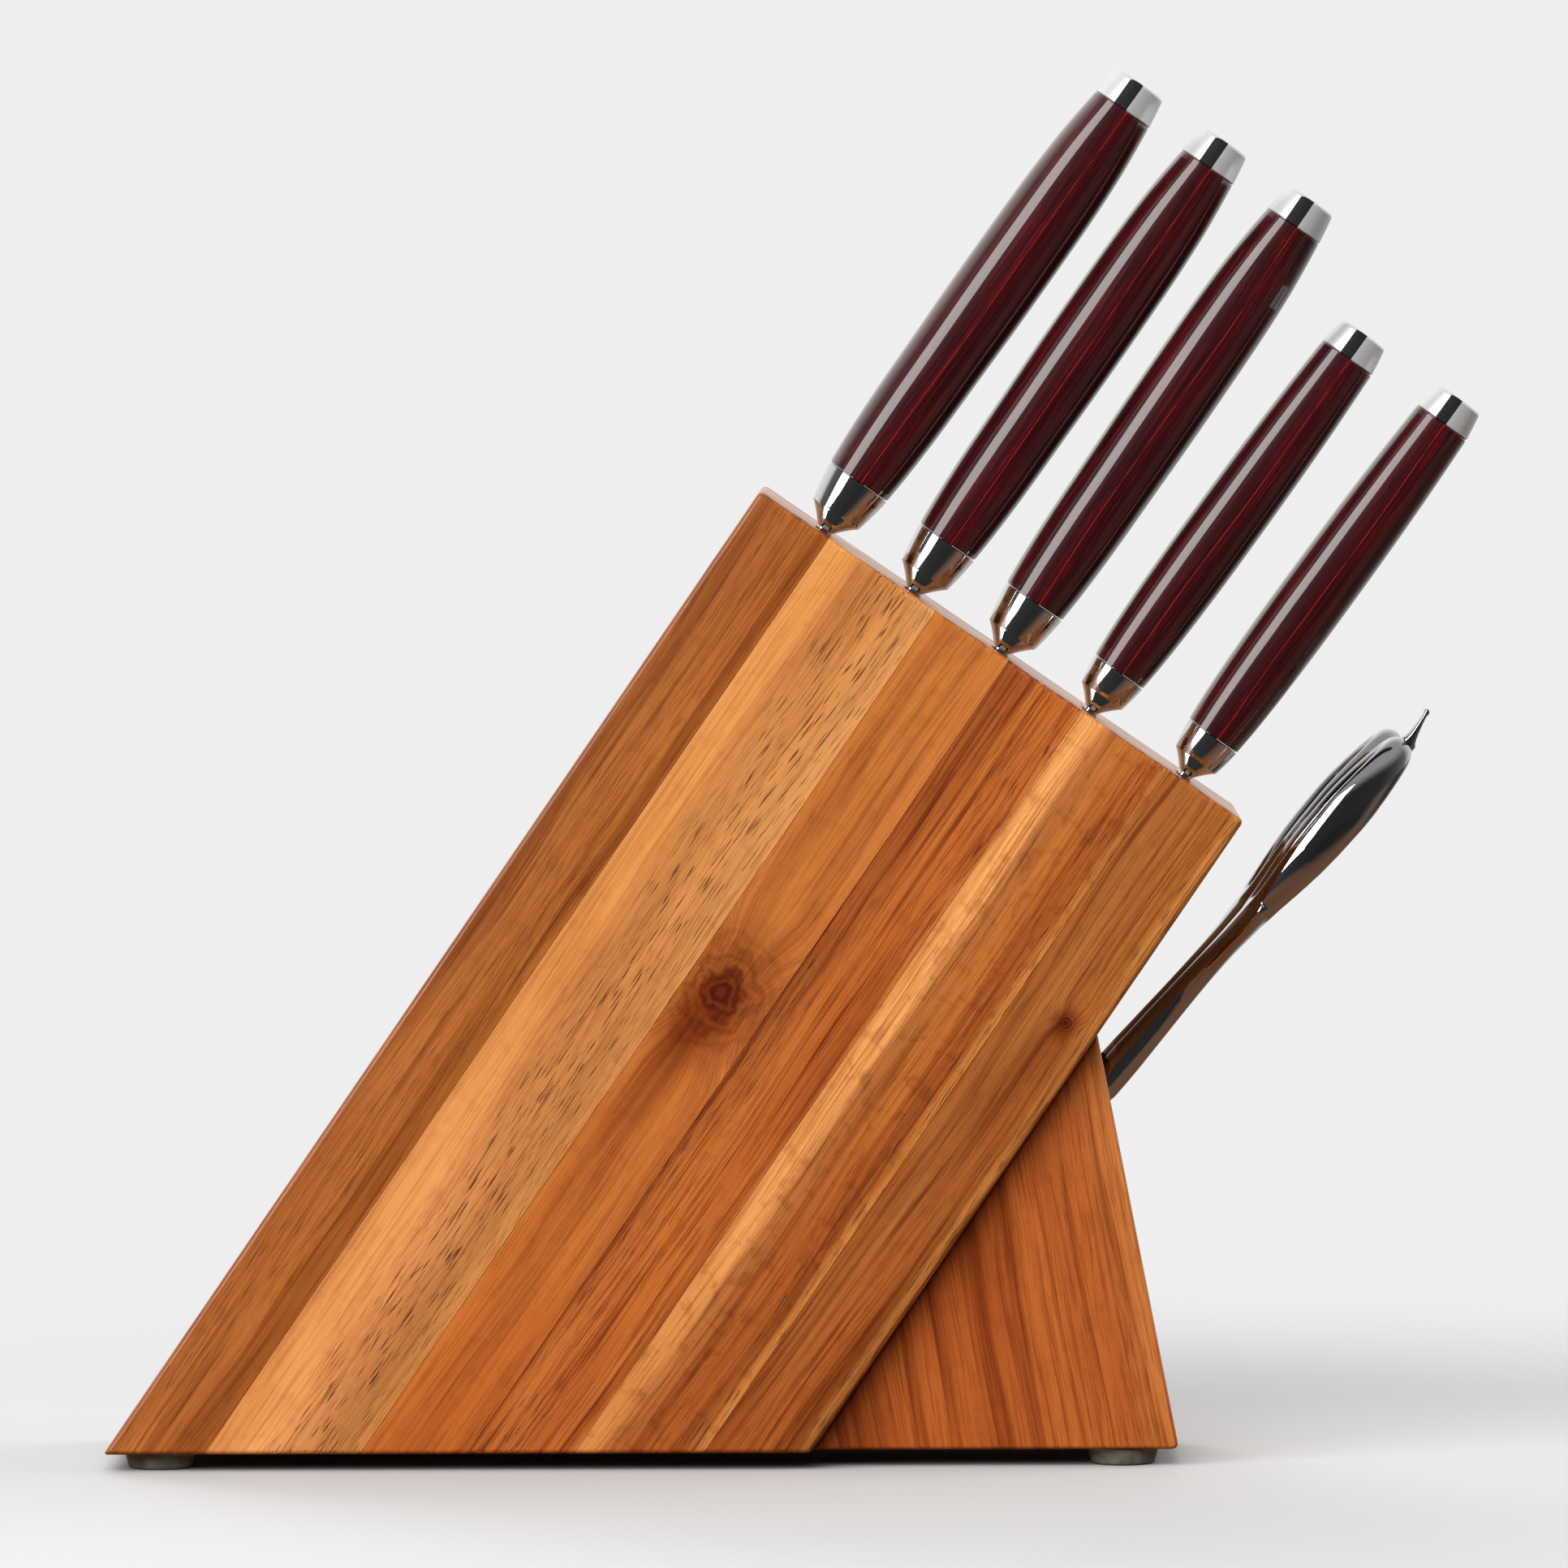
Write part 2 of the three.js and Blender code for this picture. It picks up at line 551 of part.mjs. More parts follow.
function pivotScrew() {
  const head = solidOf(barAlongX(HEAD_RADIUS, PLATE_OUTER + GLUE_LINE, PLATE_OUTER + GLUE_LINE + HEAD_HEIGHT));
  const shank = solidOf(barAlongX(SCREW_RADIUS, -PLATE_OUTER, PLATE_OUTER + GLUE_LINE + HEAD_HEIGHT / 2));
  const thread = solidOf(barAlongX(THREAD_RADIUS, -PLATE_OUTER - GLUE_LINE - HEAD_HEIGHT, 0));
  return geometryOf(head.add(shank).add(thread));
}

function pivotNut() {
  const outer = -PLATE_OUTER - GLUE_LINE - HEAD_HEIGHT;
  const disc = solidOf(barAlongX(HEAD_RADIUS, outer, -PLATE_OUTER - GLUE_LINE));
  return geometryOf(disc.subtract(solidOf(barAlongX(THREAD_RADIUS + GLUE_LINE, outer - 1, 0))));
}

function addShears(parent) {
  const group = new THREE.Group();
  group.position.set(
    SHEARS_MOUTH.x - PIVOT_BELOW_MOUTH * Math.cos(SHEARS_ANGLE), 0,
    SHEARS_MOUTH.z - PIVOT_BELOW_MOUTH * Math.sin(SHEARS_ANGLE));
  group.rotation.y = Math.PI / 2 - SHEARS_ANGLE;
  parent.add(group);
  place(group, 'shears_front_half', shearsHalf(-1, 1, 0.4, true), finishes.shears);
  place(group, 'shears_back_half', shearsHalf(1, -1, -0.4, false), finishes.shears);
  place(group, 'shears_pivot_screw', pivotScrew(), finishes.shears);
  place(group, 'shears_pivot_nut', pivotNut(), finishes.shears);
}

function knifeBlock() {
  const whole = new THREE.Group();
  const wood = new THREE.Group();
  wood.position.z = woodBottom;
  whole.add(wood);

  const leaning = new THREE.Group();
  leaning.position.set(blockTopLeft.x, 0, blockTopLeft.z);
  leaning.rotation.y = Math.PI / 2 - BLOCK_ANGLE;
  wood.add(leaning);

  const halfBlock = BLOCK_THICKNESS / 2;
  const halfCore = coreThickness / 2;
  addPanel(leaning, 'front', -halfBlock, -halfCore - GLUE_LINE / 2);
  addPanel(leaning, 'back', halfCore + GLUE_LINE / 2, halfBlock);

  const { halfThickness, depth } = POCKET;
  const pocket = alongPocket([-halfThickness, -halfBlock, -depth], [halfThickness, halfBlock, depth]);
  leaning.updateMatrix();
  pocket.applyMatrix4(leaning.matrix.clone().invert());
  addCore(leaning, pocket);
  KNIVES.forEach((knife) => addKnife(leaning, knife));

  addWedge(wood);
  addShears(wood);
  addFeet(whole);

  // Centre the footprint on the origin
  const box = new THREE.Box3().setFromObject(whole, true);
  whole.position.x = -(box.min.x + box.max.x) / 2;
  whole.position.y = -(box.min.y + box.max.y) / 2;
  return whole;
}

export default knifeBlock();
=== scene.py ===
import json
import math

import bmesh
import bpy
from mathutils import Matrix, Vector


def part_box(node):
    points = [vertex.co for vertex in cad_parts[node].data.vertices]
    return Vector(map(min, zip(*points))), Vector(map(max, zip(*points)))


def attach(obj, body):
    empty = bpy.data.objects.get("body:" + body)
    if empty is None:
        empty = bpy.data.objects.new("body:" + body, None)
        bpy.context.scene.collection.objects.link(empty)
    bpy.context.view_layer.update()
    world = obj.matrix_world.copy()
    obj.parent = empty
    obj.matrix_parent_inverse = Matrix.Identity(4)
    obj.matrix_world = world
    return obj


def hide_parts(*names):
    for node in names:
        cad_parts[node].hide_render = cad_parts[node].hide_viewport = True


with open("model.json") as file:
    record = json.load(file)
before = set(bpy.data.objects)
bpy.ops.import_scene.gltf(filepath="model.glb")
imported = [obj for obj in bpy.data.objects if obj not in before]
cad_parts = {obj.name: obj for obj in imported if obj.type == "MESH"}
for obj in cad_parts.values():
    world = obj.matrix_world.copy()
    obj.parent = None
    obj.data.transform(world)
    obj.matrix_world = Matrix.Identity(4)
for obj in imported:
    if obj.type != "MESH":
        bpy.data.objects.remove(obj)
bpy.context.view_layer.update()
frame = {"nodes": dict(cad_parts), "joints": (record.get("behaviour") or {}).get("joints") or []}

scene = bpy.context.scene
nodes = frame["nodes"]
joints = {joint["name"]: joint for joint in frame["joints"]}
millimetre = 0.001
sideways = Vector((0, 1, 0))
print("knife block: frame loaded")


# The camera, turned to the right, up and clockwise in degrees

camera = {
    "place": (0.02827, -2.970, 0.29455),
    "yaw": -0.585,
    "pitch": -2.488,
    "roll": -0.206,
    "lens": 277.64,
    "sensor": 36,
}


def newObject(name, data):
    made = bpy.data.objects.new(name, data)
    scene.collection.objects.link(made)
    return made


def makeCamera(look):
    lens = bpy.data.cameras.new("camera")
    lens.lens = look["lens"]
    lens.sensor_width = look["sensor"]
    holder = newObject("camera", lens)
    turn = Matrix.Rotation(math.radians(-look["yaw"]), 4, "Z")
    turn = turn @ Matrix.Rotation(math.radians(90 + look["pitch"]), 4, "X")
    turn = turn @ Matrix.Rotation(math.radians(look["roll"]), 4, "Z")
    holder.matrix_world = Matrix.Translation(look["place"]) @ turn
    scene.camera = holder


makeCamera(camera)
scene.view_settings.view_transform = "Standard"


# Shader helpers. A wire is one output, and sums and products of wires become Math nodes.

def tone(red, green, blue):
    linear = []
    for share in (red / 255, green / 255, blue / 255):
        linear.append(share / 12.92 if share < 0.04 else ((share + 0.055) / 1.055) ** 2.4)
    return (*linear, 1)


def level(value):
    return (value, value, value, 1)


def tones(*stops):
    return [(position, tone(*colour)) for position, *colour in stops]


def levels(*stops):
    return [(position, level(value)) for position, value in stops]


def wired(operation, flipped=False):
    def combine(wire, other):
        values = (other, wire) if flipped else (wire, other)
        return wire.tree.math(operation, *values)
    return combine


class Wire:
    def __init__(self, tree, socket):
        self.tree = tree
        self.socket = socket

    def beside(self, name):      # another output of the same node
        return Wire(self.tree, self.socket.node.outputs[name])

    __add__ = wired("ADD")
    __radd__ = wired("ADD", flipped=True)
    __sub__ = wired("SUBTRACT")
    __rsub__ = wired("SUBTRACT", flipped=True)
    __mul__ = wired("MULTIPLY")
    __truediv__ = wired("DIVIDE")
    __pow__ = wired("POWER")


class Tree:
    def __init__(self, owner):
        owner.use_nodes = True
        self.owner = owner
        self.nodes = owner.node_tree.nodes
        self.links = owner.node_tree.links
        self.nodes.clear()

    def node(self, kind, settings=None, values=None, out=0):
        made = self.nodes.new(kind)
        for name, setting in (settings or {}).items():
            if name == "stops":
                setStops(made.color_ramp.elements, setting)
            else:
                setattr(made, name, setting)
        for key, value in (values or {}).items():
            if isinstance(value, Wire):
                self.links.new(value.socket, made.inputs[key])
            else:
                made.inputs[key].default_value = value
        return Wire(self, made.outputs[out] if len(made.outputs) else None)

    def math(self, operation, *values):
        return self.node("ShaderNodeMath", {"operation": operation}, dict(enumerate(values)))

    def ramp(self, factor, stops):
        return self.node("ShaderNodeValToRGB", {"stops": stops}, {"Fac": factor})

    def between(self, value, low, high):     # 0 below low, 1 above high, smooth between
        values = {"Value": value, "From Min": low, "From Max": high}
        return self.node("ShaderNodeMapRange", {"interpolation_type": "SMOOTHSTEP"}, values)

    def mix(self, factor, first, second, how="MIX"):
        settings = {"data_type": "RGBA", "blend_type": how}
        return self.node("ShaderNodeMix", settings, {0: factor, 6: first, 7: second}, 2)

    def vector(self, x, y, z):
        return self.node("ShaderNodeCombineXYZ", {}, {0: x, 1: y, 2: z})

    def noise(self, vector, detail=2, roughness=0.5):
        values = {"Vector": vector, "Scale": 1, "Detail": detail, "Roughness": roughness}
        return self.node("ShaderNodeTexNoise", {}, values)

    def bump(self, height, distance, strength):
        values = {"Height": height, "Distance": distance, "Strength": strength}
        return self.node("ShaderNodeBump", {}, values)

    def finish(self, values):
        shader = self.node("ShaderNodeBsdfPrincipled", {}, values)
        self.node("ShaderNodeOutputMaterial", {}, {"Surface": shader})
        return self.owner


def setStops(elements, stops):
    while len(elements) < len(stops):
        elements.new(1)
    for element, (position, colour) in zip(elements, stops):
        element.position = position
        element.color = colour


def newTree(name):
    return Tree(bpy.data.materials.new(name))


# Millimetres in a piece's own frame: X across, Y front to back, Z along
def ownSpace(tree, place):
    back = place.inverted()
    values = {
        "Vector": tree.node("ShaderNodeTexCoord", {}, {}, "Object"),
        "Location": back.translation / millimetre,
        "Rotation": back.to_euler(),
        "Scale": (1 / millimetre,) * 3,
    }
    mapped = tree.node("ShaderNodeMapping", {"vector_type": "POINT"}, values)
    x = tree.node("ShaderNodeSeparateXYZ", {}, {0: mapped})
    return x, x.beside("Y"), x.beside("Z")


# Mesh helpers. Shapes are drawn in millimetres in a piece's own frame, and placed when they are done.

# A point on a circle that is squarer the higher the power is
def squircle(turn, power):
    def bend(value):
        return math.copysign(abs(value) ** (2 / power), value)
    return bend(math.cos(turn)), bend(math.sin(turn))


def turns(count):
    return [2 * math.pi * (step + 0.5) / count for step in range(count)]


def fromRings(rings, around=False):
    shape = bmesh.new()
    rows = [[shape.verts.new(point) for point in ring] for ring in rings]
    following = rows[1:] + rows[:1] if around else rows[1:]
    for lower, upper in zip(rows, following):
        for index in range(len(lower)):
            after = (index + 1) % len(lower)
            shape.faces.new((lower[index], lower[after], upper[after], upper[index]))
    if not around:
        shape.faces.new(reversed(rows[0]))
        shape.faces.new(rows[-1])
    return cleaned(shape)


def cleaned(shape, distance=1e-4):
    bmesh.ops.remove_doubles(shape, verts=shape.verts, dist=distance)
    bmesh.ops.recalc_face_normals(shape, faces=shape.faces)
    return shape


# A smooth curve through rows of numbers whose first number grows
def smoothed(rows, steps):
    def slope(index, column):
        before, after = rows[max(index - 1, 0)], rows[min(index + 1, len(rows) - 1)]
        return (after[column] - before[column]) / (after[0] - before[0])

    curve = []
    for index, (low, high) in enumerate(zip(rows, rows[1:])):
        span = high[0] - low[0]
        for step in range(steps):
            t = step / steps
            row = [low[0] + t * span]
            for column in range(1, len(low)):
                start = span * slope(index, column)
                end = span * slope(index + 1, column)
                value = (2 * t**3 - 3 * t**2 + 1) * low[column] + (t**3 - 2 * t**2 + t) * start
                value += (3 * t**2 - 2 * t**3) * high[column] + (t**3 - t**2) * end
                row.append(value)
            curve.append(row)
    return curve + [list(rows[-1])]


def bezier(points, steps):
    curve = []
    for step in range(steps + 1):
        row = [Vector(point) for point in points]
        while len(row) > 1:
            row = [a.lerp(b, step / steps) for a, b in zip(row, row[1:])]
        curve.append(row[0])
    return curve


def boxShape(low, high):
    shape = bmesh.new()
    bmesh.ops.create_cube(shape, size=1)
    middle = (Vector(low) + Vector(high)) / 2
    size = Vector(high) - Vector(low)
    for vertex in shape.verts:
        vertex.co = middle + Vector(a * b for a, b in zip(vertex.co, size))
    return shape


# Round about the X axis, through rows of [x, radius]
def turnedAlongX(rows, sides=64):
    ring = [(math.cos(turn), math.sin(turn)) for turn in turns(sides)]
    return fromRings([[(x, radius * y, radius * z) for y, z in ring] for x, radius in rows])


def meshOf(name, shape):
    mesh = bpy.data.meshes.new(name)
    shape.to_mesh(mesh)
    shape.free()
    return mesh


def tempObject(shape):
    return newObject("temp", meshOf("temp", shape))


# The plain mesh that an object's modifiers end in
def settledMesh(holder):
    evaluated = holder.evaluated_get(bpy.context.evaluated_depsgraph_get())
    return bpy.data.meshes.new_from_object(evaluated)


def settled(holder):
    mesh = settledMesh(holder)
    bpy.data.objects.remove(holder)
    shape = bmesh.new()
    shape.from_mesh(mesh)
    bpy.data.meshes.remove(mesh)
    return shape


def combined(shape, tool, operation):
    body, cutter = tempObject(shape), tempObject(tool)
    modifier = body.modifiers.new("cut", "BOOLEAN")
    modifier.object = cutter
    modifier.operation = operation
    modifier.solver = "EXACT"
    result = settled(body)
    bpy.data.objects.remove(cutter)
    return result


# Melts joined shapes into one skin with rounded inner corners
def melted(shape, voxel, smoothing):
    body = tempObject(shape)
    remesh = body.modifiers.new("melt", "REMESH")
    remesh.mode = "VOXEL"
    remesh.voxel_size = voxel
    smooth = body.modifiers.new("smooth", "SMOOTH")
    smooth.iterations = smoothing
    return settled(body)


def addPiece(name, shape, place, material, body, replaced, sharp=35):
    addMesh(name, meshOf(name, shape), place, material, body, replaced, sharp)


def addMesh(name, mesh, place, material, body, replaced, sharp=35):
    if place is not None:
        mesh.transform(place @ Matrix.Scale(millimetre, 4))
    mesh.shade_smooth()
    mesh.set_sharp_from_angle(angle=math.radians(sharp))
    holder = newObject(name, mesh)
    weighted = holder.modifiers.new("weighted", "WEIGHTED_NORMAL")
    weighted.keep_sharp = True
    finished = settledMesh(holder)
    holder.modifiers.clear()
    holder.data = finished
    finished.materials.clear()
    finished.materials.append(material)
    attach(holder, body)
    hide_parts(*replaced)


# Frames from the model

def framed(along, origin):
    along = Vector(along).normalized()
    across = sideways.cross(along)
    place = Matrix((across, sideways, along)).transposed().to_4x4()
    place.translation = origin
    return place


def cornersOf(node):
    return [vertex.co.copy() for vertex in nodes[node].data.vertices]


# A node's corners in a piece's own frame, in millimetres
def spotsOf(node, place):
    back = (place @ Matrix.Scale(millimetre, 4)).inverted()
    return [back @ corner for corner in cornersOf(node)]


def span(values):
    values = list(values)
    return min(values), max(values)


def blockFrame():
    corners = cornersOf("front_stave_1")
    top = max(corners, key=lambda corner: corner.z)
    foot = min(corners, key=lambda corner: corner.x)
    along = Vector((top.x - foot.x, 0, top.z - foot.z))
    return framed(along, (top.x, 0, top.z))


def wedgeFrame():
    corners = cornersOf("wedge_front_cheek")
    top = max(corners, key=lambda corner: corner.z)
    foot = max(corners, key=lambda corner: corner.x)
    return framed((top.x - foot.x, 0, top.z - foot.z), (top.x, 0, top.z))


bolsterGap = 0.3      # between the block's top and a bolster's neck


def knifeFrame(name):
    along = Vector(joints[f"{name}_draw"]["axis"])
    across = sideways.cross(along)
    corners = cornersOf(f"{name}_bolster")
    lowest = min(corner.dot(along) for corner in corners) - bolsterGap * millimetre
    reach = [corner.dot(across) for corner in corners]
    return framed(along, along * lowest + across * (min(reach) + max(reach)) / 2)


def shearsFrame():
    return framed(joints["shears_draw"]["axis"], joints["shears_open"]["pos_m"])


blockPlace = blockFrame()
wedgePlace = wedgeFrame()
shearsPlace = shearsFrame()


sameHeight = 0.2      # corners closer than this along the handle belong to one ring
leastDepth = 0.6      # share of the deepest ring, below which a ring is the hole's


# A node's rings in its own frame, as [height, width, depth], without those of the hole for the tang
def ringsOf(node, place):
    heights = []
    for spot in sorted(spotsOf(node, place), key=lambda spot: spot.z):
        if not heights or spot.z - heights[-1][0].z > sameHeight:
            heights.append([])
        heights[-1].append(spot)
    rings = []
    for spots in heights:
        left, right = span(spot.x for spot in spots)
        front, rear = span(spot.y for spot in spots)
        rings.append([spots[0].z, right - left, rear - front])
    deepest = max(ring[2] for ring in rings)
    return [ring for ring in rings if ring[2] > leastDepth * deepest]


def middleY(node):
    low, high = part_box(node)
    return (low.y + high.y) / 2 / millimetre


# Wood. Tones run across a board from its left edge, at the top and at the bottom of the block.

woodGrain = {
    "wobble": 0.055,         # of the board's width
    "streakAmount": 0.55,
    "poreAmount": 0.5,
    "pore": tone(122, 90, 66),    # what a pore leaves of the colour round it
    "figure": 0.15,          # how much the grain shimmers across its length
    "roughness": 0.38,
}


def woodFinish(name, look, place, left, width):
    look = {**woodGrain, **look}
    tree = newTree(name)
    x, y, z = ownSpace(tree, place)
    seed = look["seed"]
    drift = tree.noise(tree.vector(x / 34 + seed, y / 30, z / 150), 2)
    wander = (drift - 0.5) * 2
    bend = wander * look["wobble"] * width
    knotShade = None
    if "knot" in look:
        x, knotShade, knotRing = aroundKnot(tree, x, z, look["knot"], seed)
    share = (x + bend - left) / width
    upper = tree.ramp(share, look["top"])
    colour = upper
    if "bottom" in look:
        lower = tree.ramp(share, look["bottom"])
        patch = tree.noise(tree.vector(x / 20 + seed, y / 20, z / 60 + seed), 1)
        colour = tree.mix(tree.between(0 - z + (patch - 0.5) * 120, 90, 220), upper, lower)
    flow = x + wander * 5

    def fibres(across, along, detail, shift):
        spot = tree.vector(flow * across + seed * shift, y * across, z * along)
        return tree.noise(spot, detail, 0.6)

    def darker(colour, share, tint):
        return tree.mix(share, colour, tree.mix(1, colour, tint, "MULTIPLY"))

    amount = look["streakAmount"]
    streaks = fibres(0.2, 0.004, 4, 3)
    strands = fibres(0.7, 0.014, 3, -1)
    threads = fibres(1.9, 0.035, 3, 5)
    cloud = tree.noise(tree.vector(x / 16 + seed, y / 16, z / 70), 3, 0.55)
    figure = tree.noise(tree.vector(x / 5 + wander * 2, y / 5, z / 5 + seed), 3, 0.6)
    colour = darker(colour, tree.between(streaks, 0.47, 0.66) * amount, tone(179, 140, 94))
    colour = darker(colour, tree.between(strands, 0.50, 0.66) * (amount * 0.8 + 0.1), tone(177, 140, 100))
    colour = darker(colour, tree.between(threads, 0.47, 0.64) * (amount * 0.5 + 0.25), tone(190, 158, 118))
    colour = darker(colour, tree.between(cloud, 0.40, 0.66) * 0.35, tone(214, 184, 150))
    colour = darker(colour, tree.between(figure, 0.50, 0.66) * look["figure"], tone(196, 160, 120))
    coarse = tree.between(tree.noise(tree.vector(x / 14 + seed * 2, y / 14, z / 90), 2), 0.38, 0.62)
    if "pores" in look:
        coarse = tree.ramp(share, look["pores"])
    dashes = fibres(2.3, 0.11, 1, 7)
    pores = tree.between(dashes, 0.56, 0.68) * coarse * look["poreAmount"]
    colour = darker(colour, pores, look["pore"])
    if knotShade is not None:
        colour = darker(colour, knotShade, tone(176, 132, 84))
        colour = darker(colour, knotRing, tone(160, 122, 84))
    height = threads * 0.25 + (1 - pores) * 0.75
    return tree.finish({
        "Base Color": colour,
        "Roughness": look["roughness"] + pores * 0.25 + (cloud - 0.5) * 0.1,
        "Specular IOR Level": 0.3,
        "Coat Weight": 0.25,
        "Coat Roughness": 0.14,
        "Normal": tree.bump(height, 0.00006, 0.6),
    })


# Bends the grain round a knot and gives the knot's shade and its rings
def aroundKnot(tree, x, z, knot, seed):
    dx = (x - knot["x"]) / knot["radius"]
    dz = (z - knot["z"]) / (knot["radius"] * 1.25)
    ripple = tree.noise(tree.vector(x * 0.22 + seed, z * 0.22, 0), 2) - 0.5
    reach = (dx * dx + dz * dz) ** 0.5 + ripple * 0.5
    near = 1 - tree.between(reach, 0.35, 3)
    aside = ((x - knot["x"] + (z - knot["z"]) * -0.12) ** 2) ** 0.5
    below = 0 - z + knot["z"]
    tail = (1 - tree.between(aside, 1, 9)) * (1 - tree.between(below, 10, 70)) * tree.between(below, -6, 8)
    core = 1 - tree.between(reach, 0, 1)
    rings = tree.math("SINE", reach * 13 + ripple * 9) * 0.5 + 0.5
    bent = x + dx * near * knot["radius"] * 0.9
    shade = near * 0.7 + core * 0.3 + tail * 0.6
    return bent, tree.math("MINIMUM", shade, 1), (rings * 0.7 + core * 0.5) * near * near


staveLooks = [
    {"seed": 1.3, "streakAmount": 0.6, "poreAmount": 0.45,
     "top": tones((0, 156, 92, 42), (0.25, 166, 98, 46), (0.8, 171, 101, 42), (1, 164, 96, 38)),
     "bottom": tones((0, 154, 88, 40), (0.25, 176, 106, 50), (0.6, 172, 102, 44), (0.85, 144, 78, 27),
                     (1, 158, 90, 36))},
    {"seed": 2.9, "streakAmount": 0.25, "poreAmount": 1,
     "top": tones((0, 214, 146, 80), (0.2, 219, 147, 78), (0.35, 198, 132, 70), (0.55, 194, 128, 69),
                  (0.7, 208, 140, 77), (0.85, 199, 136, 76), (1, 214, 149, 86)),
     "bottom": tones((0, 217, 148, 83), (0.35, 225, 154, 90), (0.55, 206, 139, 80), (0.8, 182, 118, 63),
                     (1, 200, 137, 73)),
     "pores": levels((0, 0), (0.3, 0.15), (0.5, 0.9), (0.75, 1), (1, 0.5))},
    {"seed": 4.1, "streakAmount": 0.35, "poreAmount": 0.3, "knot": {"x": 61, "z": -106, "radius": 7.5},
     "top": tones((0, 196, 120, 56), (0.4, 188, 114, 50), (1, 194, 116, 54)),
     "bottom": tones((0, 188, 106, 44), (0.4, 176, 94, 36), (0.7, 182, 98, 38), (1, 186, 103, 43))},
    {"seed": 6.7, "streakAmount": 0.9, "poreAmount": 0.8,
     "top": tones((0, 164, 90, 38), (0.2, 158, 84, 33), (0.45, 188, 108, 46), (0.65, 178, 96, 38),
                  (0.9, 186, 104, 44), (1, 196, 116, 54)),
     "bottom": tones((0, 171, 92, 35), (0.2, 190, 109, 48), (0.5, 182, 100, 42), (0.8, 188, 106, 46),
                     (1, 198, 118, 54))},
    {"seed": 8.2, "streakAmount": 0.6, "poreAmount": 0.8, "figure": 0.4,
     "top": tones((0, 212, 142, 76), (0.1, 232, 163, 94), (0.24, 228, 158, 90), (0.34, 173, 104, 50),
                  (0.5, 186, 112, 49), (0.7, 176, 100, 40), (0.88, 168, 92, 36), (1, 198, 129, 62)),
     "bottom": tones((0, 226, 158, 90), (0.14, 214, 142, 76), (0.3, 176, 106, 52), (0.5, 166, 88, 35),
                     (0.75, 162, 84, 32), (1, 198, 129, 62)),
     "pores": levels((0, 0.1), (0.3, 0.4), (0.6, 0.3), (0.85, 0.9), (1, 1))},
    {"seed": 9.6, "streakAmount": 0.7, "poreAmount": 0.7, "knot": {"x": 134, "z": -65, "radius": 1.8},
     "top": tones((0, 158, 90, 38), (0.3, 172, 104, 49), (0.6, 173, 102, 46), (0.84, 170, 101, 41),
                  (0.9, 190, 124, 62), (1, 176, 112, 53)),
     "bottom": tones((0, 143, 70, 23), (0.3, 158, 82, 30), (0.6, 163, 86, 31), (0.84, 142, 76, 24),
                     (0.9, 160, 100, 46), (1, 138, 80, 35)),
     "pores": levels((0, 0.2), (0.5, 0.4), (0.82, 0.5), (0.86, 1), (1, 1))},
]


def acrossBlock(node):
    back = blockPlace.inverted()
    reach = [(back @ corner).x / millimetre for corner in cornersOf(node)]
    return min(reach), max(reach) - min(reach)


edgeRounding = {"radius": 0.0013, "segments": 4, "leastAngle": 20}
flatWithin = 0.00005     # metres that a corner may stand past a face that still counts as outer
backSeed = 11.4          # added to a board's seed when the back panel repeats it


# Tells a face with the whole group behind it from one inside the group
def outerPlanes(group):
    corners = [corner for node in group for corner in cornersOf(node)]

    def isOuter(face):
        middle = face.calc_center_median()
        return all((corner - middle).dot(face.normal) < flatWithin for corner in corners)
    return isOuter


# A board with the edges that show rounded over
def roundedBoard(node, isOuter):
    shape = bmesh.new()
    shape.from_mesh(nodes[node].data)
    bmesh.ops.remove_doubles(shape, verts=shape.verts, dist=0.000005)
    flat = math.radians(0.5)
    bmesh.ops.dissolve_limit(shape, angle_limit=flat, verts=shape.verts, edges=shape.edges)
    outer = {face for face in shape.faces if isOuter(face)}
    least = math.radians(edgeRounding["leastAngle"])
    edges = [edge for edge in shape.edges
             if all(face in outer for face in edge.link_faces) and edge.calc_face_angle(0) > least]
    bmesh.ops.bevel(shape, geom=edges, offset=edgeRounding["radius"], segments=edgeRounding["segments"],
                    profile=0.5, affect="EDGES", clamp_overlap=True)
    return shape


def addBoards():
    blockNodes = [name for name in nodes if "stave" in name or name.startswith("core_")]
    isOuter = outerPlanes(blockNodes)
    for side, shift in (("front", 0), ("back", 3)):
        for index in range(len(staveLooks)):
            node = f"{side}_stave_{index + 1}"
            look = dict(staveLooks[(index + shift) % len(staveLooks)])
            if side == "back":
                look["seed"] += backSeed
                look.pop("knot", None)
            left, width = acrossBlock(node)
            material = woodFinish(f"{side}_acacia_{index + 1}", look, blockPlace, left, width)
            shape = roundedBoard(node, isOuter)
            addPiece(f"{side}_board_{index + 1}", shape, None, material, "block", [node])
    print("knife block: panels done")
    for index, node in enumerate(sorted(name for name in blockNodes if name.startswith("core_"))):
        look = {**coreLook, "seed": 20 + (index + 1) * 1.7}
        left, width = acrossBlock(node)
        material = woodFinish(f"{node}_wood", look, blockPlace, left, width)
        shape = roundedBoard(node, isOuter)
        addPiece(f"{node}_board", shape, None, material, "block", [node])
    print("knife block: core done")


coreLook = {
    "streakAmount": 0.5, "poreAmount": 0.5,
    "top": tones((0, 196, 136, 82), (0.5, 184, 122, 70), (1, 200, 142, 88)),
}

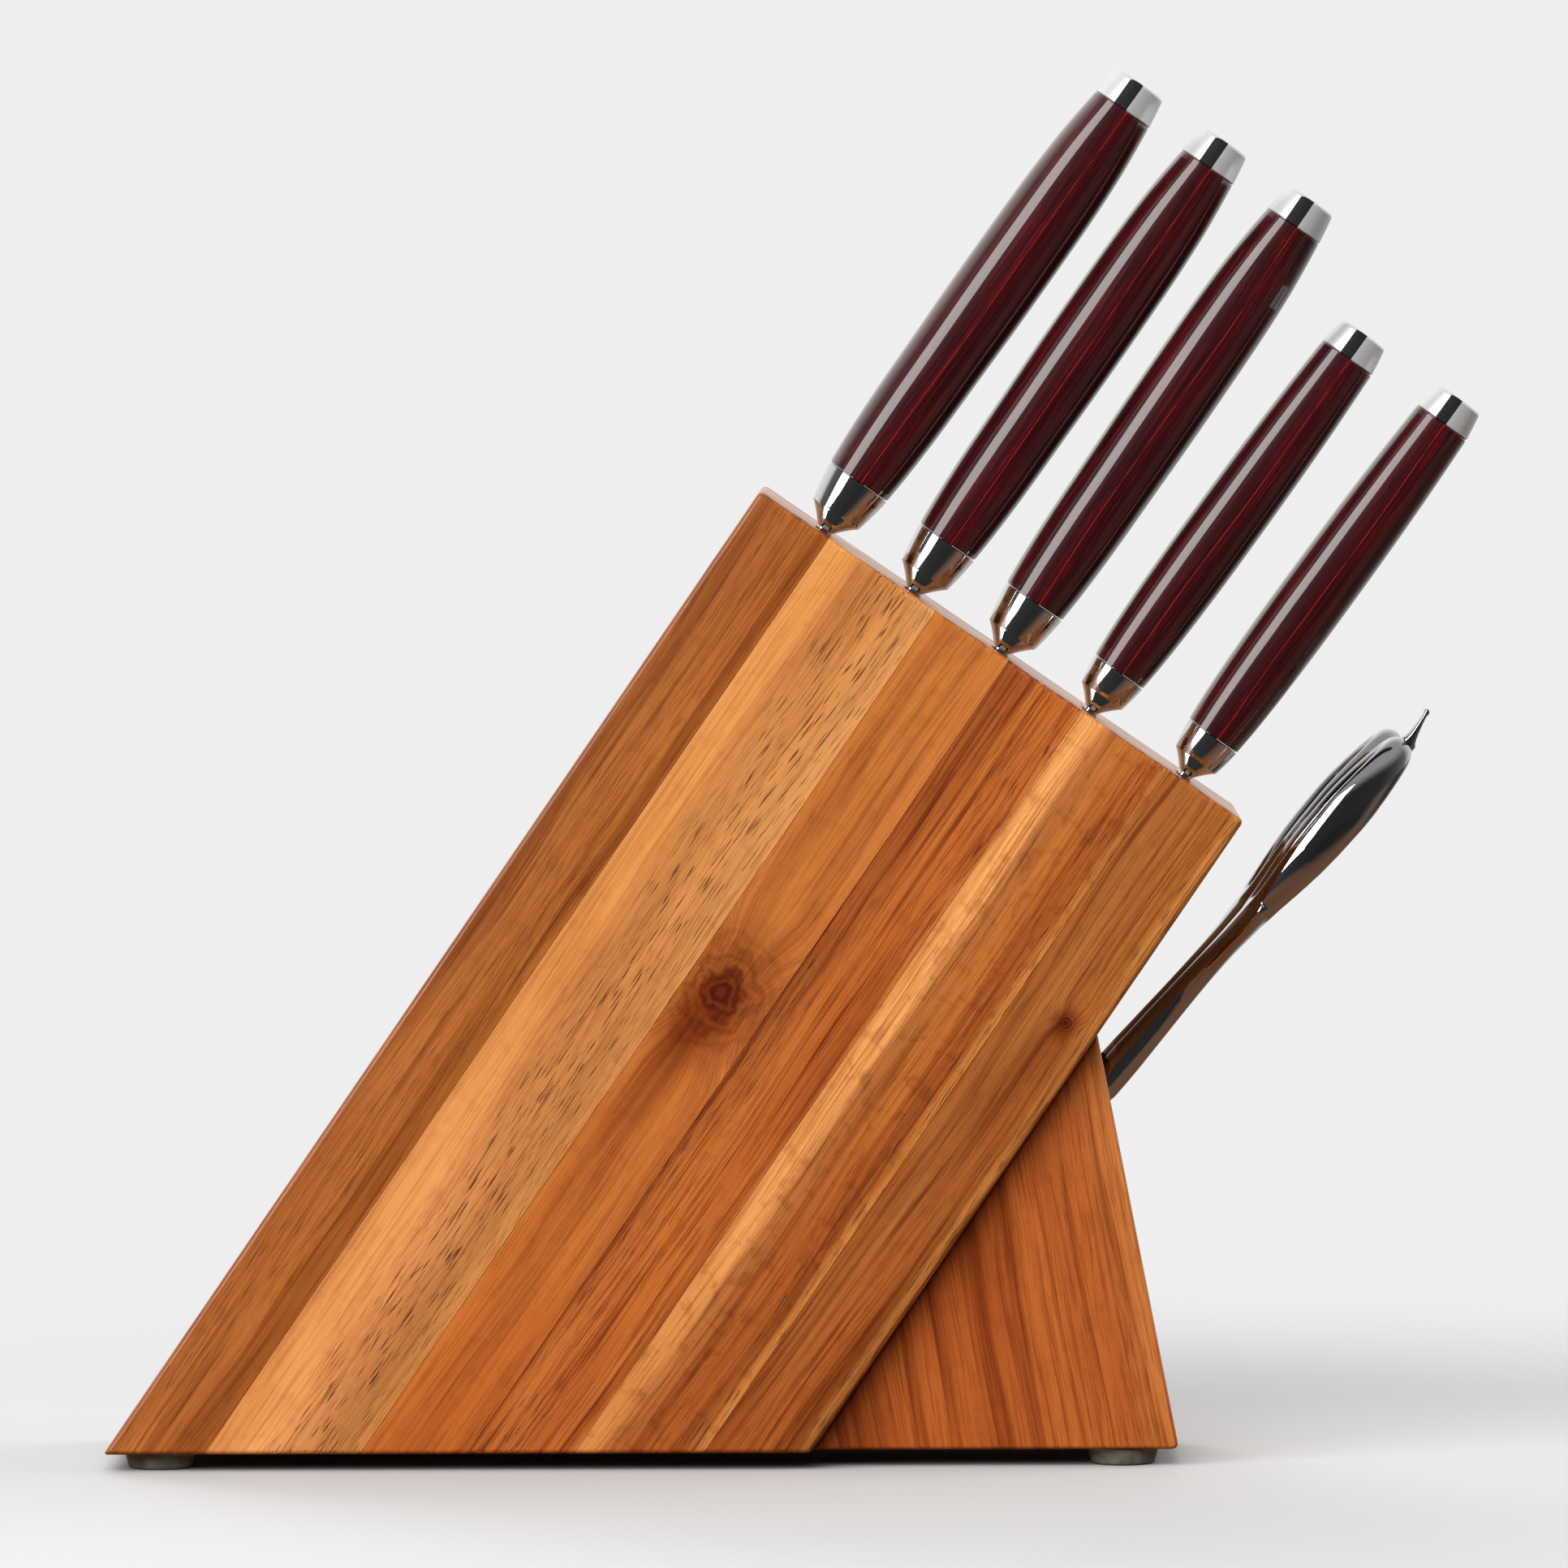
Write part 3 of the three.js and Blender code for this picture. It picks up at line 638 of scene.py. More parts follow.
wedgeWidth = 98          # of the wedge's boards, to the left of its sloping back
wedgeLook = {
    "streakAmount": 0.55, "poreAmount": 0.35, "seed": 31.5, "wobble": 0.03,
    "top": tones((0, 178, 96, 42), (0.2, 158, 80, 30), (0.38, 178, 94, 38), (0.6, 168, 86, 34),
                 (0.75, 184, 100, 44), (0.9, 176, 94, 40), (1, 196, 120, 62)),
    "pores": levels((0, 0.3), (0.7, 0.3), (0.9, 1), (1, 1)),
}


def addWedge():
    wedgeNodes = [name for name in nodes if name.startswith("wedge")]
    isOuter = outerPlanes(wedgeNodes)
    for index, node in enumerate(sorted(wedgeNodes)):
        look = {**wedgeLook, "seed": wedgeLook["seed"] + (0 if "front" in node else 2.3 * (index + 1))}
        material = woodFinish(f"{node}_wood", look, wedgePlace, -wedgeWidth, wedgeWidth)
        shape = roundedBoard(node, isOuter)
        addPiece(f"{node}_board", shape, None, material, "block", [node])
    print("knife block: wedge done")


addBoards()
addWedge()


# Feet

footLook = {"bottomEdge": 0.9, "topEdge": 0.35, "bottomShare": 0.905, "sides": 56}


def rubberFinish():
    tree = newTree("clear_rubber")
    x, y, z = ownSpace(tree, Matrix())
    haze = tree.noise(tree.vector(x * 0.5, y * 0.5, z * 0.2), 3)
    return tree.finish({
        "Base Color": tree.ramp(haze, tones((0.3, 150, 152, 134), (0.7, 196, 198, 184))),
        "Roughness": 0.16 + haze * 0.12,
        "Transmission Weight": 0.75,
        "IOR": 1.45,
        "Normal": tree.bump(haze, 0.0001, 0.4),
    })


def footShape(radius, height):
    look = footLook
    foot = radius * look["bottomShare"]
    rows = []
    for step in range(6):
        turn = math.pi / 2 * step / 5
        rows.append([look["bottomEdge"] * (1 - math.cos(turn)),
                     foot - look["bottomEdge"] * (1 - math.sin(turn))])
    for step in range(4):
        turn = math.pi / 2 * step / 3
        rows.append([height - look["topEdge"] * (1 - math.sin(turn)),
                     radius - look["topEdge"] * (1 - math.cos(turn))])
    ring = [(math.cos(turn), math.sin(turn)) for turn in turns(look["sides"])]
    return fromRings([[(r * a, r * b, z) for a, b in ring] for z, r in rows])


def addFeet():
    rubber = rubberFinish()
    for node in sorted(name for name in nodes if name.startswith("foot")):
        low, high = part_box(node)
        size = (high - low) / millimetre
        place = Matrix.Translation(((low.x + high.x) / 2, (low.y + high.y) / 2, low.z))
        shape = footShape(size.x / 2, size.z)
        addPiece(f"rubber_{node}", shape, place, rubber, "block", [node])
    print("knife block: feet done")


addFeet()


# Knives

sectionPower = 2.5
knifeLook = {
    "sides": 72,
    "tangGap": 0.3,
    "seam": 0.25,            # edge rounding where two pieces of a handle meet
    "kinkRounding": 0.14,
    "flareHollow": 0.2,
    "neckPower": 4,          # squarer than the section above
    "flareDepth": 0.3,       # share of the flare's height that is needed to reach the full depth
    "buttDrop": 0.35,        # keeps the rounded butt inside the chamfered one
    "inlayGap": 0.06,
    "heelPart": 6,           # the blade's heel stands this part of its width below the bolster
    "holeReach": (-5, 40),   # the tang's hole, past both ends of a bolster
    "bladeSharp": 24,        # degrees from which an edge of a blade stays sharp
    "scallopReach": 4,       # serrations fade out this far above the edge, and end this far below the heel
}
blades = {
    "chef_knife": {"belly": 0.55, "tipDrop": 7},
    "bread_knife": {"belly": 0.1, "tipDrop": 14, "serrations": {"pitch": 5, "depth": 0.9, "grind": 0.35}},
    "carving_knife": {"belly": 0.3, "tipDrop": 5},
    "utility_knife": {"belly": 0.35, "tipDrop": 5},
    "paring_knife": {"belly": 0.4, "tipDrop": 4},
}


def sectionRing(z, width, depth, centre, inset=0, power=sectionPower):
    ring = []
    for turn in turns(knifeLook["sides"]):
        x, y = squircle(turn, power)
        ring.append((x * (width / 2 - inset), centre + y * (depth / 2 - inset), z))
    return ring


def gripFinish(name, place, seed):
    tree = newTree(name)
    x, y, z = ownSpace(tree, place)
    sway = tree.noise(tree.vector(seed, y * 0.03, z * 0.02), 1) - 0.5
    grain = tree.noise(tree.vector(x * 1.3 + sway * 4 + seed, y * 0.5, z * 0.014), 5, 0.65)
    thread = tree.noise(tree.vector(x * 4.5 + seed, y * 2, z * 0.03), 3, 0.6)
    colour = tree.ramp(grain, tones((0.28, 24, 2, 5), (0.46, 42, 5, 9), (0.58, 56, 8, 12),
                                    (0.74, 88, 14, 18)))
    colour = tree.mix(tree.between(thread, 0.56, 0.68) * 0.6, colour, tone(128, 20, 22))
    colour = tree.mix(tree.between(thread, 0.42, 0.30) * 0.5, colour, tone(18, 2, 5))
    offset = ((x - 0.9 + sway * 2.2) ** 2) ** 0.5
    broken = tree.between(tree.noise(tree.vector(seed, seed, z * 0.16), 2), 0.34, 0.56)
    line = (1 - tree.between(offset, 0.04, 0.17)) * (broken * 0.5 + 0.25)
    colour = tree.mix(line, colour, tone(168, 30, 26))
    return tree.finish({
        "Base Color": colour,
        "Roughness": 0.4 + thread * 0.1,
        "Specular IOR Level": 0.15,
        "Coat Weight": 1.0,
        "Coat Roughness": 0.045,
        "Coat IOR": 1.55,
        "Normal": tree.bump(thread, 0.00002, 0.3),
    })


def mirrorSteel(name, colour, roughness, scale):
    tree = newTree(name)
    x, y, z = ownSpace(tree, Matrix())
    smudge = tree.noise(tree.vector(x * scale, y * scale, z * scale), 4, 0.6)
    return tree.finish({
        "Base Color": tree.mix(smudge, colour, tree.mix(1, colour, level(0.94), "MULTIPLY")),
        "Roughness": roughness + tree.between(smudge, 0.45, 0.8) * 0.05,
        "Metallic": 1,
    })


# Fine parallel scratches that run along one of the frame's directions
def brushedSteel(name, place, colour, roughness, stretch, strength, metallic=1):
    tree = newTree(name)
    x, y, z = ownSpace(tree, place)
    scratch = tree.noise(tree.vector(x * stretch[0], y * stretch[1], z * stretch[2]), 3, 0.7)
    cloud = tree.noise(tree.vector(x * 0.08, y * 0.08, z * 0.05), 3)
    return tree.finish({
        "Base Color": tree.mix(scratch, colour, tree.mix(1, colour, level(0.86), "MULTIPLY")),
        "Roughness": roughness + (scratch - 0.5) * 0.14 + (cloud - 0.5) * 0.08,
        "Metallic": metallic,
        "Normal": tree.bump(scratch, 0.00001, strength),
    })


def inlayFinish():
    tree = newTree("black_inlay")
    x, y, z = ownSpace(tree, Matrix())
    grain = tree.noise(tree.vector(x * 3, y * 3, z * 3), 4, 0.7)
    return tree.finish({
        "Base Color": tree.ramp(grain, tones((0.3, 18, 19, 19), (0.7, 32, 33, 34))),
        "Roughness": 0.5 + grain * 0.18,
        "Specular IOR Level": 0.25,
        "Normal": tree.bump(grain, 0.00002, 0.4),
    })


def bolsterShape(rings, centre):
    look = knifeLook
    bottom, neck, kink, top = rings
    rows = [[*bottom, 0], [*neck, 0]]
    steps = 8
    for step in range(1, steps):
        t = step / steps
        hollow = t - look["flareHollow"] * t * (1 - t)
        full = min(t / look["flareDepth"], 1) * (0.94 + 0.06 * t)
        rows.append([neck[0] + t * (kink[0] - neck[0]), neck[1] + hollow * (kink[1] - neck[1]),
                     neck[2] + full * (kink[2] - neck[2]), 0])
    small = look["kinkRounding"]
    rows.append([kink[0] - small, kink[1] - 1.2 * small, kink[2] - small, 0])
    rows.append([kink[0] + small, kink[1], kink[2], 0])
    for step in range(1, 6):
        t = step / 5
        swell = t + 0.3 * t * (1 - t)
        height = kink[0] + t * (top[0] - look["seam"] - kink[0])
        rows.append([height, kink[1] + swell * (top[1] - kink[1]), kink[2] + swell * (top[2] - kink[2]), 0])
    rows.append([*top, look["seam"]])
    rings = []
    for z, width, depth, inset in rows:
        above = max(0, min((z - neck[0]) / (kink[0] - neck[0]), 1))
        power = look["neckPower"] + (sectionPower - look["neckPower"]) * above
        rings.append(sectionRing(z, width, depth, centre, inset, power))
    return fromRings(rings)


def gripShape(rings, centre):
    seam = knifeLook["seam"]
    curve = [[*row, 0] for row in smoothed(rings, 5)]
    curve[0][0] += seam
    curve[-1][0] -= seam
    rows = [[*rings[0], seam], *curve, [*rings[-1], seam]]
    return fromRings([sectionRing(z, width, depth, centre, inset) for z, width, depth, inset in rows])


def capShape(rings, centre):
    look = knifeLook
    foot, shoulder, top = rings
    shoulder = [shoulder[0] - look["buttDrop"], *shoulder[1:]]
    top = [top[0] - look["buttDrop"], *top[1:]]
    rows = [[*foot, look["seam"]], [foot[0] + look["seam"], foot[1], foot[2], 0]]
    for step in range(1, 6):
        t = step / 5
        swell = t - 0.25 * t * (1 - t)
        rows.append([foot[0] + t * (shoulder[0] - foot[0]), foot[1] + swell * (shoulder[1] - foot[1]),
                     foot[2] + swell * (shoulder[2] - foot[2]), 0])
    radius = top[0] - shoulder[0]
    for step in range(1, 7):
        turn = math.pi / 2 * step / 6
        height = shoulder[0] + radius * math.sin(turn)
        rows.append([height, shoulder[1], shoulder[2], radius * (1 - math.cos(turn))])
    return fromRings([sectionRing(z, width, depth, centre, inset) for z, width, depth, inset in rows])


# The blade's half thickness as a share of its greatest, from the spine to the edge
grind = [(0, 0.72), (0.025, 0.96), (0.06, 1), (0.25, 0.93), (0.5, 0.68), (0.75, 0.42), (0.9, 0.27),
         (0.955, 0.20), (0.985, 0.09), (1, 0.03)]


def grindAt(share):
    for (low, first), (high, second) in zip(grind, grind[1:]):
        if share <= high:
            return first + (second - first) * max(share - low, 0) / (high - low)
    return grind[-1][1]


def bladeShape(look, sizes):
    spine, width, length, half = sizes["spine"], sizes["width"], sizes["length"], sizes["thickness"] / 2
    edge = spine + width
    drop = look["tipDrop"]
    straight = -length * (1 - look["belly"])
    heel = -width / knifeLook["heelPart"]
    shoulder = -bolsterGap

    def spineAt(z):      # where the spine is at a height, past where it turns down to the tip
        start, bend, end = -length + 2 * drop, -length + drop / 2, -length
        if z >= start:
            return spine
        a, b, c = start - 2 * bend + end, 2 * (bend - start), start - z
        t = (-b - math.sqrt(max(b * b - 4 * a * c, 0))) / (2 * a)
        return spine + t * t * drop

    tip = (spine + drop, -length)
    bellyControl = (edge, -length * (1 - look["belly"] / 3))
    belly = bezier([tip, bellyControl, (edge, straight), (edge, straight)], 70)
    count = int((heel - straight) / 0.5)
    run = [Vector((edge, straight + (heel - straight) * step / count)) for step in range(1, count)]
    choil = bezier([(edge, heel), (sizes["neck"] + 1, heel), (sizes["neck"], shoulder)], 24)
    rings = []
    for y, z in belly[:-1] + run + choil:
        back = spineAt(z)
        taper = min(1, 0.3 + 0.7 * (z + length) / (0.45 * length))
        full = max(edge - spine if z > heel else y - back, 0.001)
        ring = []
        for share, _ in grind:
            place = back + share * (y - back)
            ring.append((place, half * taper * grindAt((place - back) / full)))
        rings.append([(x, place, z) for place, x in ring] + [(-x, place, z) for place, x in reversed(ring)])
    points = len(rings[0])
    for z in (shoulder, sizes["tangTop"]):
        ring = []
        for index in range(points):
            step = index if index < points / 2 else points - 1 - index
            place = sizes["tang"][0] + (sizes["tang"][1] - sizes["tang"][0]) * step / (points / 2 - 1)
            ring.append(((half if index < points / 2 else -half) * 0.96, place, z))
        rings.append(ring)
    return fromRings(rings)


# Scallops ground into a straight edge. They cut up from the edge and thin one face of the blade.
def serrationTree(material):
    tree = bpy.data.node_groups.new("serrations", "GeometryNodeTree")
    sockets = {}
    tree.interface.new_socket("Geometry", in_out="INPUT", socket_type="NodeSocketGeometry")
    for name in ("Pitch", "Depth", "Grind", "Edge", "Reach", "From", "To"):
        made = tree.interface.new_socket(name, in_out="INPUT", socket_type="NodeSocketFloat")
        sockets[name] = made.identifier
    tree.interface.new_socket("Geometry", in_out="OUTPUT", socket_type="NodeSocketGeometry")

    def node(kind, settings=None, values=None):
        made = tree.nodes.new(kind)
        for name, setting in (settings or {}).items():
            setattr(made, name, setting)
        for key, value in (values or {}).items():
            if isinstance(value, bpy.types.NodeSocket):
                tree.links.new(value, made.inputs[key])
            else:
                made.inputs[key].default_value = value
        return made.outputs[0] if len(made.outputs) else None

    def maths(operation, *values):
        return node("ShaderNodeMath", {"operation": operation}, dict(enumerate(values)))

    def ease(value, low, high):
        return node("ShaderNodeMapRange", {"interpolation_type": "SMOOTHSTEP"}, {0: value, 1: low, 2: high})

    given = tree.nodes.new("NodeGroupInput").outputs
    split = tree.nodes.new("ShaderNodeSeparateXYZ")
    tree.links.new(node("GeometryNodeInputPosition"), split.inputs[0])
    x, y, z = split.outputs
    phase = maths("FRACT", maths("DIVIDE", z, given["Pitch"]))
    fromMiddle = maths("MULTIPLY_ADD", phase, 2.0, -1.0)
    scallop = maths("SUBTRACT", 1.0, maths("MULTIPLY", fromMiddle, fromMiddle))
    nearEdge = ease(y, maths("SUBTRACT", given["Edge"], given["Reach"]), given["Edge"])
    within = maths("MULTIPLY", ease(z, given["From"], maths("ADD", given["From"], given["Pitch"])),
                   ease(z, given["To"], maths("SUBTRACT", given["To"], given["Pitch"])))
    amount = maths("MULTIPLY", maths("MULTIPLY", scallop, nearEdge), within)
    oneFace = maths("GREATER_THAN", x, 0.0)
    inwards = maths("MULTIPLY", maths("MULTIPLY", maths("MULTIPLY", amount, oneFace), x), given["Grind"])
    upwards = maths("MULTIPLY", maths("MULTIPLY", amount, nearEdge), given["Depth"])
    offset = node("ShaderNodeCombineXYZ", {}, {0: maths("MULTIPLY", inwards, -1.0),
                                               1: maths("MULTIPLY", upwards, -1.0)})
    ground = node("GeometryNodeSetPosition", {}, {"Geometry": given["Geometry"], "Offset": offset})
    real = node("GeometryNodeRealizeInstances", {}, {0: ground})
    finished = node("GeometryNodeSetMaterial", {}, {"Geometry": real, "Material": material})
    output = tree.nodes.new("NodeGroupOutput")
    tree.links.new(finished, output.inputs[0])
    return tree, sockets


def serrated(shape, serrations, sizes, straight, material):
    tree, sockets = serrationTree(material)
    holder = tempObject(shape)
    modifier = holder.modifiers.new("serrations", "NODES")
    modifier.node_group = tree
    edge = sizes["spine"] + sizes["width"]
    reach = knifeLook["scallopReach"]
    end = -sizes["width"] / knifeLook["heelPart"] - reach
    given = {"Pitch": serrations["pitch"], "Depth": serrations["depth"], "Grind": serrations["grind"],
             "Edge": edge, "Reach": reach, "From": straight, "To": end}
    for name, value in given.items():
        modifier[sockets[name]] = float(value)
    mesh = settledMesh(holder)
    bpy.data.objects.remove(holder)
    return mesh


def bladeSizes(name, place):
    spots = spotsOf(f"{name}_blade", place)
    tang = [spot for spot in spots if spot.z > 1]
    cut = [spot for spot in spots if spot.z <= 1]
    spine, edge = span(spot.y for spot in cut)
    left, right = span(spot.x for spot in spots)
    centre = middleY(f"{name}_bolster")
    neckDepth = ringsOf(f"{name}_bolster", place)[0][2]
    return {
        "spine": spine,
        "width": edge - spine,
        "length": -min(spot.z for spot in cut),
        "thickness": right - left,
        "tang": span(spot.y for spot in tang),
        "tangTop": max(spot.z for spot in tang),
        "neck": centre + neckDepth / 2,
    }


def inlayBand(name, place, top, extra):
    spots = spotsOf(f"{name}_cap_inlay", place)
    left, right = span(spot.x for spot in spots)
    outside, inside = span(spot.y for spot in spots)
    past = 10
    return boxShape((left - extra, outside - past, 0), (right + extra, inside + extra, top + past))


def addKnife(name, look, finishes, seed):
    place = knifeFrame(name)
    centre = middleY(f"{name}_bolster")
    sizes = bladeSizes(name, place)
    gap = knifeLook["tangGap"]
    halfTang = sizes["thickness"] / 2 + gap

    def tangHole(low, high):
        return boxShape((-halfTang, sizes["tang"][0] - gap, low), (halfTang, sizes["tang"][1] + gap, high))

    steel = brushedSteel(f"{name}_blade_steel", place, tone(206, 208, 210), 0.24, (0.4, 0.12, 9), 0.35)
    blade = bladeShape(look, sizes)
    bladeName, sharp = f"{name}_ground_blade", knifeLook["bladeSharp"]
    if "serrations" in look:
        straight = -sizes["length"] * (1 - look["belly"])
        mesh = serrated(blade, look["serrations"], sizes, straight, steel)
        addMesh(bladeName, mesh, place, steel, name, [f"{name}_blade"], sharp)
    else:
        addPiece(bladeName, blade, place, steel, name, [f"{name}_blade"], sharp)

    rings = ringsOf(f"{name}_bolster", place)
    bolster = combined(bolsterShape(rings, centre), tangHole(*knifeLook["holeReach"]), "DIFFERENCE")
    addPiece(f"{name}_forged_bolster", bolster, place, finishes["bolster"], name,
             [f"{name}_bolster"])

    rings = ringsOf(f"{name}_grip", place)
    grip = combined(gripShape(rings, centre), tangHole(0, sizes["tangTop"] + gap), "DIFFERENCE")
    wood = gripFinish(f"{name}_grip_wood", place, seed)
    addPiece(f"{name}_polished_grip", grip, place, wood, name, [f"{name}_grip"])

    rings = ringsOf(f"{name}_cap", place)
    top = rings[-1][0]
    cap = combined(capShape(rings, centre), inlayBand(name, place, top, knifeLook["inlayGap"]), "DIFFERENCE")
    inlay = combined(capShape(rings, centre), inlayBand(name, place, top, 0), "INTERSECT")
    capSteel = brushedSteel(f"{name}_cap_steel", place, tone(228, 229, 230), 0.4, (9, 9, 0.25), 0.2, 0.6)
    addPiece(f"{name}_butt_cap", cap, place, capSteel, name, [f"{name}_cap"])
    addPiece(f"{name}_butt_inlay", inlay, place, finishes["inlay"], name, [f"{name}_cap_inlay"])
    print(f"knife block: {name} done")


def addKnives():
    finishes = {
        "bolster": mirrorSteel("bolster_steel", tone(212, 212, 214), 0.05, 0.12),
        "inlay": inlayFinish(),
    }
    for number, (name, look) in enumerate(blades.items()):
        addKnife(name, look, finishes, 3.1 * (number + 1))


addKnives()


# Shears, in their own frame from the pivot: Z up to the handles, Y across the loops, X through the blades

shears = {
    "end": 121.4,
    "loopY": 17.9, "loopZ": 91.4, "loop": (16.9, 30), "hole": (11, 23.5), "tilt": 0.05, "power": 2.3,
    # half the handles' thickness, as rows of [distance from their end, half thickness]
    "profile": [[0, 2.6], [1.2, 3.4], [8.5, 4.45], [20.4, 5.4], [28, 5.35], [36.3, 5.05], [44.3, 4.3],
                [52, 3.45], [60, 3.15], [68, 2.95], [80, 3.2], [88, 3.5], [96, 3.8], [105, 4.1], [116, 4.1]],
    "sectionPower": 2.15,
    "plate": (0.15, 3.1),
    "disc": 12,
    "bladeReach": 76,
    "bore": 3.05,
    "screw": 2.92, "thread": 2.1, "head": 4.6, "headHeight": 1.1,
    # the lid lifter at the end of the front handle: rows of [height past the end, thickness]
    "tab": [[-4, 4.6], [0, 4.2], [0.7, 3.3], [1.8, 2.6], [3.2, 2.1], [5, 1.6], [6.8, 1.25], [7.6, 1.2],
            [8, 1.5], [8.4, 1.7], [8.8, 1.5], [9.05, 0.9], [9.15, 0.3]],
    "tabY": 17, "tabWidth": 8, "tabShifts": (0.8, -0.9),
    "voxel": 0.4, "smoothing": 14,
    "halves": {
        "front": {"side": -1, "facing": 1, "offset": 0.4, "hasTab": True},
        "back": {"side": 1, "facing": -1, "offset": -0.4, "hasTab": False},
    },
}

handleCurve = smoothed(shears["profile"], 4)


def handleHalf(z):
    distance = max(shears["end"] - z, 0)
    for (low, first), (high, second) in zip(handleCurve, handleCurve[1:]):
        if distance <= high:
            return first + (second - first) * (distance - low) / (high - low)
    return handleCurve[-1][1]


def loopShape(half):
    side, offset = half["side"], half["offset"]
    rings = []
    for turn in turns(120):
        across, along = squircle(turn, shears["power"])
        points = []
        for halfWidth, halfLength in (shears["hole"], shears["loop"]):
            z = along * halfLength
            y = side * shears["loopY"] + across * halfWidth + z * shears["tilt"] * side
            points.append(Vector((0, y, shears["loopZ"] + z)))
        middle, reach = (points[0] + points[1]) / 2, (points[1] - points[0]) / 2
        ring = []
        for around in turns(32):
            out, through = squircle(around, shears["sectionPower"])
            spot = middle + reach * out
            ring.append((offset + through * handleHalf(spot.z), spot.y, spot.z))
        rings.append(ring)
    return fromRings(rings, around=True)


def shankShape(half):
    side, offset, top = half["side"], half["offset"], shears["loopZ"]
    outer = bezier([(29.6, top - 23.4), (29.3, top - 34), (10, top - 37), (8.1, top - 54)], 30)
    outer += bezier([(8.1, top - 54), (7.6, top - 62), (9.4, 20), (11.4, 6)], 20)[1:]
    rings = []
    for y, z in outer:
        near = 0.6 + 6 * max(0, (z - top + 40) / 17) ** 2
        middle, reach = (y + near) / 2, (y - near) / 2
        ring = []
        for around in turns(32):
            out, through = squircle(around, shears["sectionPower"])
            ring.append((offset + through * handleHalf(z), side * (middle + reach * out), z))
        rings.append(ring)
    return fromRings(rings)


def tabShape(half):
    look = shears
    base, end = look["tabShifts"]
    reach = look["tab"][-1][0]
    rings = []
    for height, thickness in look["tab"]:
        shift = half["offset"] + base + (end - base) * max(height, 0) / reach
        width = look["tabWidth"] - 0.15 * max(height, 0)
        ring = []
        for around in turns(40):
            x, y = squircle(around, 3.2)
            place = half["side"] * look["tabY"] + y * width / 2
            ring.append((shift + x * thickness / 2, place, look["end"] + height))
        rings.append(ring)
    return fromRings(rings)


def shearsHandle(half):
    facing = half["facing"]
    inner, outer = shears["plate"]
    far = 2 * outer + 2
    handle = combined(loopShape(half), shankShape(half), "UNION")
    turning, heading = shears["disc"] + 0.5, shears["disc"] - 2
    turningRoom = turnedAlongX(sorted([[facing * inner, turning], [-facing * far, turning]]))
    headRoom = turnedAlongX(sorted([[facing * outer, heading], [facing * far, heading]]))
    handle = combined(handle, turningRoom, "DIFFERENCE")
    handle = combined(handle, headRoom, "DIFFERENCE")
    handle = melted(handle, shears["voxel"], shears["smoothing"])
    if half["hasTab"]:
        handle = combined(handle, tabShape(half), "UNION")
    return handle


def shearsBlade(half):
    side, facing = half["side"], half["facing"]
    inner, outer = shears["plate"]
    reach = shears["bladeReach"]
    rings = []
    for y, z in bezier([(10.8, 0), (12, -22), (9, -52), (1.5, -reach)], 48):
        along = -z / reach
        edge = 2.2 if z > -reach + 14 else 2.2 - 2.7 * ((-reach + 14 - z) / 14) ** 1.5
        thick = (outer - inner) * (1 - 0.45 * along)
        back, front = -side * y, side * edge
        land = back + (front - back) * 0.5
        ring = [(inner, back), (inner + thick - 0.35, back), (inner + thick, back + (front - back) * 0.03),
                (inner + thick, land), (inner + thick * 0.2, front), (inner, front)]
        rings.append([(facing * x, place, z) for x, place in ring])
    blade = fromRings(rings)
    chamfer = 0.4
    radius = shears["disc"]
    rows = [[facing * inner, radius], [facing * (outer - chamfer), radius],
            [facing * outer, radius - chamfer]]
    disc = turnedAlongX(sorted(rows), 96)
    blade = combined(blade, disc, "UNION")
    return combined(blade, turnedAlongX([[-9, shears["bore"]], [9, shears["bore"]]], 48), "DIFFERENCE")


def screwShape():
    look = shears
    outer = look["plate"][1] + 0.1
    top = outer + look["headHeight"]
    thread, shank, head = look["thread"], look["screw"], look["head"]
    rows = [[-outer - look["headHeight"], thread], [-outer, thread], [-outer + 0.1, shank], [outer, shank],
            [outer + 0.001, head - 0.1], [outer + 0.35, head], [outer + 0.7, head - 0.25],
            [top - 0.1, head - 1.2], [top, head - 2.4]]
    slot = boxShape((top - 0.6, -0.45, -6), (top + 1, 0.45, 6))
    return combined(turnedAlongX(rows), slot, "DIFFERENCE")


def nutShape():
    look = shears
    inside = -look["plate"][1] - 0.1
    outside = inside - look["headHeight"]
    head, bore = look["head"], look["thread"] + 0.1
    rows = [[outside, head - 0.5], [outside + 0.25, head - 0.1], [outside + 0.5, head], [inside, head]]
    hole = turnedAlongX([[outside - 1, bore], [inside + 1, bore]], 40)
    return combined(turnedAlongX(rows), hole, "DIFFERENCE")


def chromeFinish():
    return mirrorSteel("shears_chrome", tone(176, 177, 180), 0.03, 0.1)


def addShears():
    chrome = chromeFinish()
    satin = brushedSteel("shears_blade_steel", shearsPlace, tone(214, 216, 218), 0.2, (0.4, 0.2, 8), 0.3)
    for word, half in shears["halves"].items():
        body = f"shears_{word}_half"
        handle, blade = shearsHandle(half), shearsBlade(half)
        addPiece(f"shears_{word}_handle", handle, shearsPlace, chrome, body, [body], 50)
        addPiece(f"shears_{word}_blade", blade, shearsPlace, satin, body, [body], 25)
    addPiece("shears_slotted_screw", screwShape(), shearsPlace, chrome, "shears_pivot",
             ["shears_pivot_screw"])
    addPiece("shears_round_nut", nutShape(), shearsPlace, chrome, "shears_pivot",
             ["shears_pivot_nut"])
    print("knife block: shears done")


addShears()


# Floor, room and lights

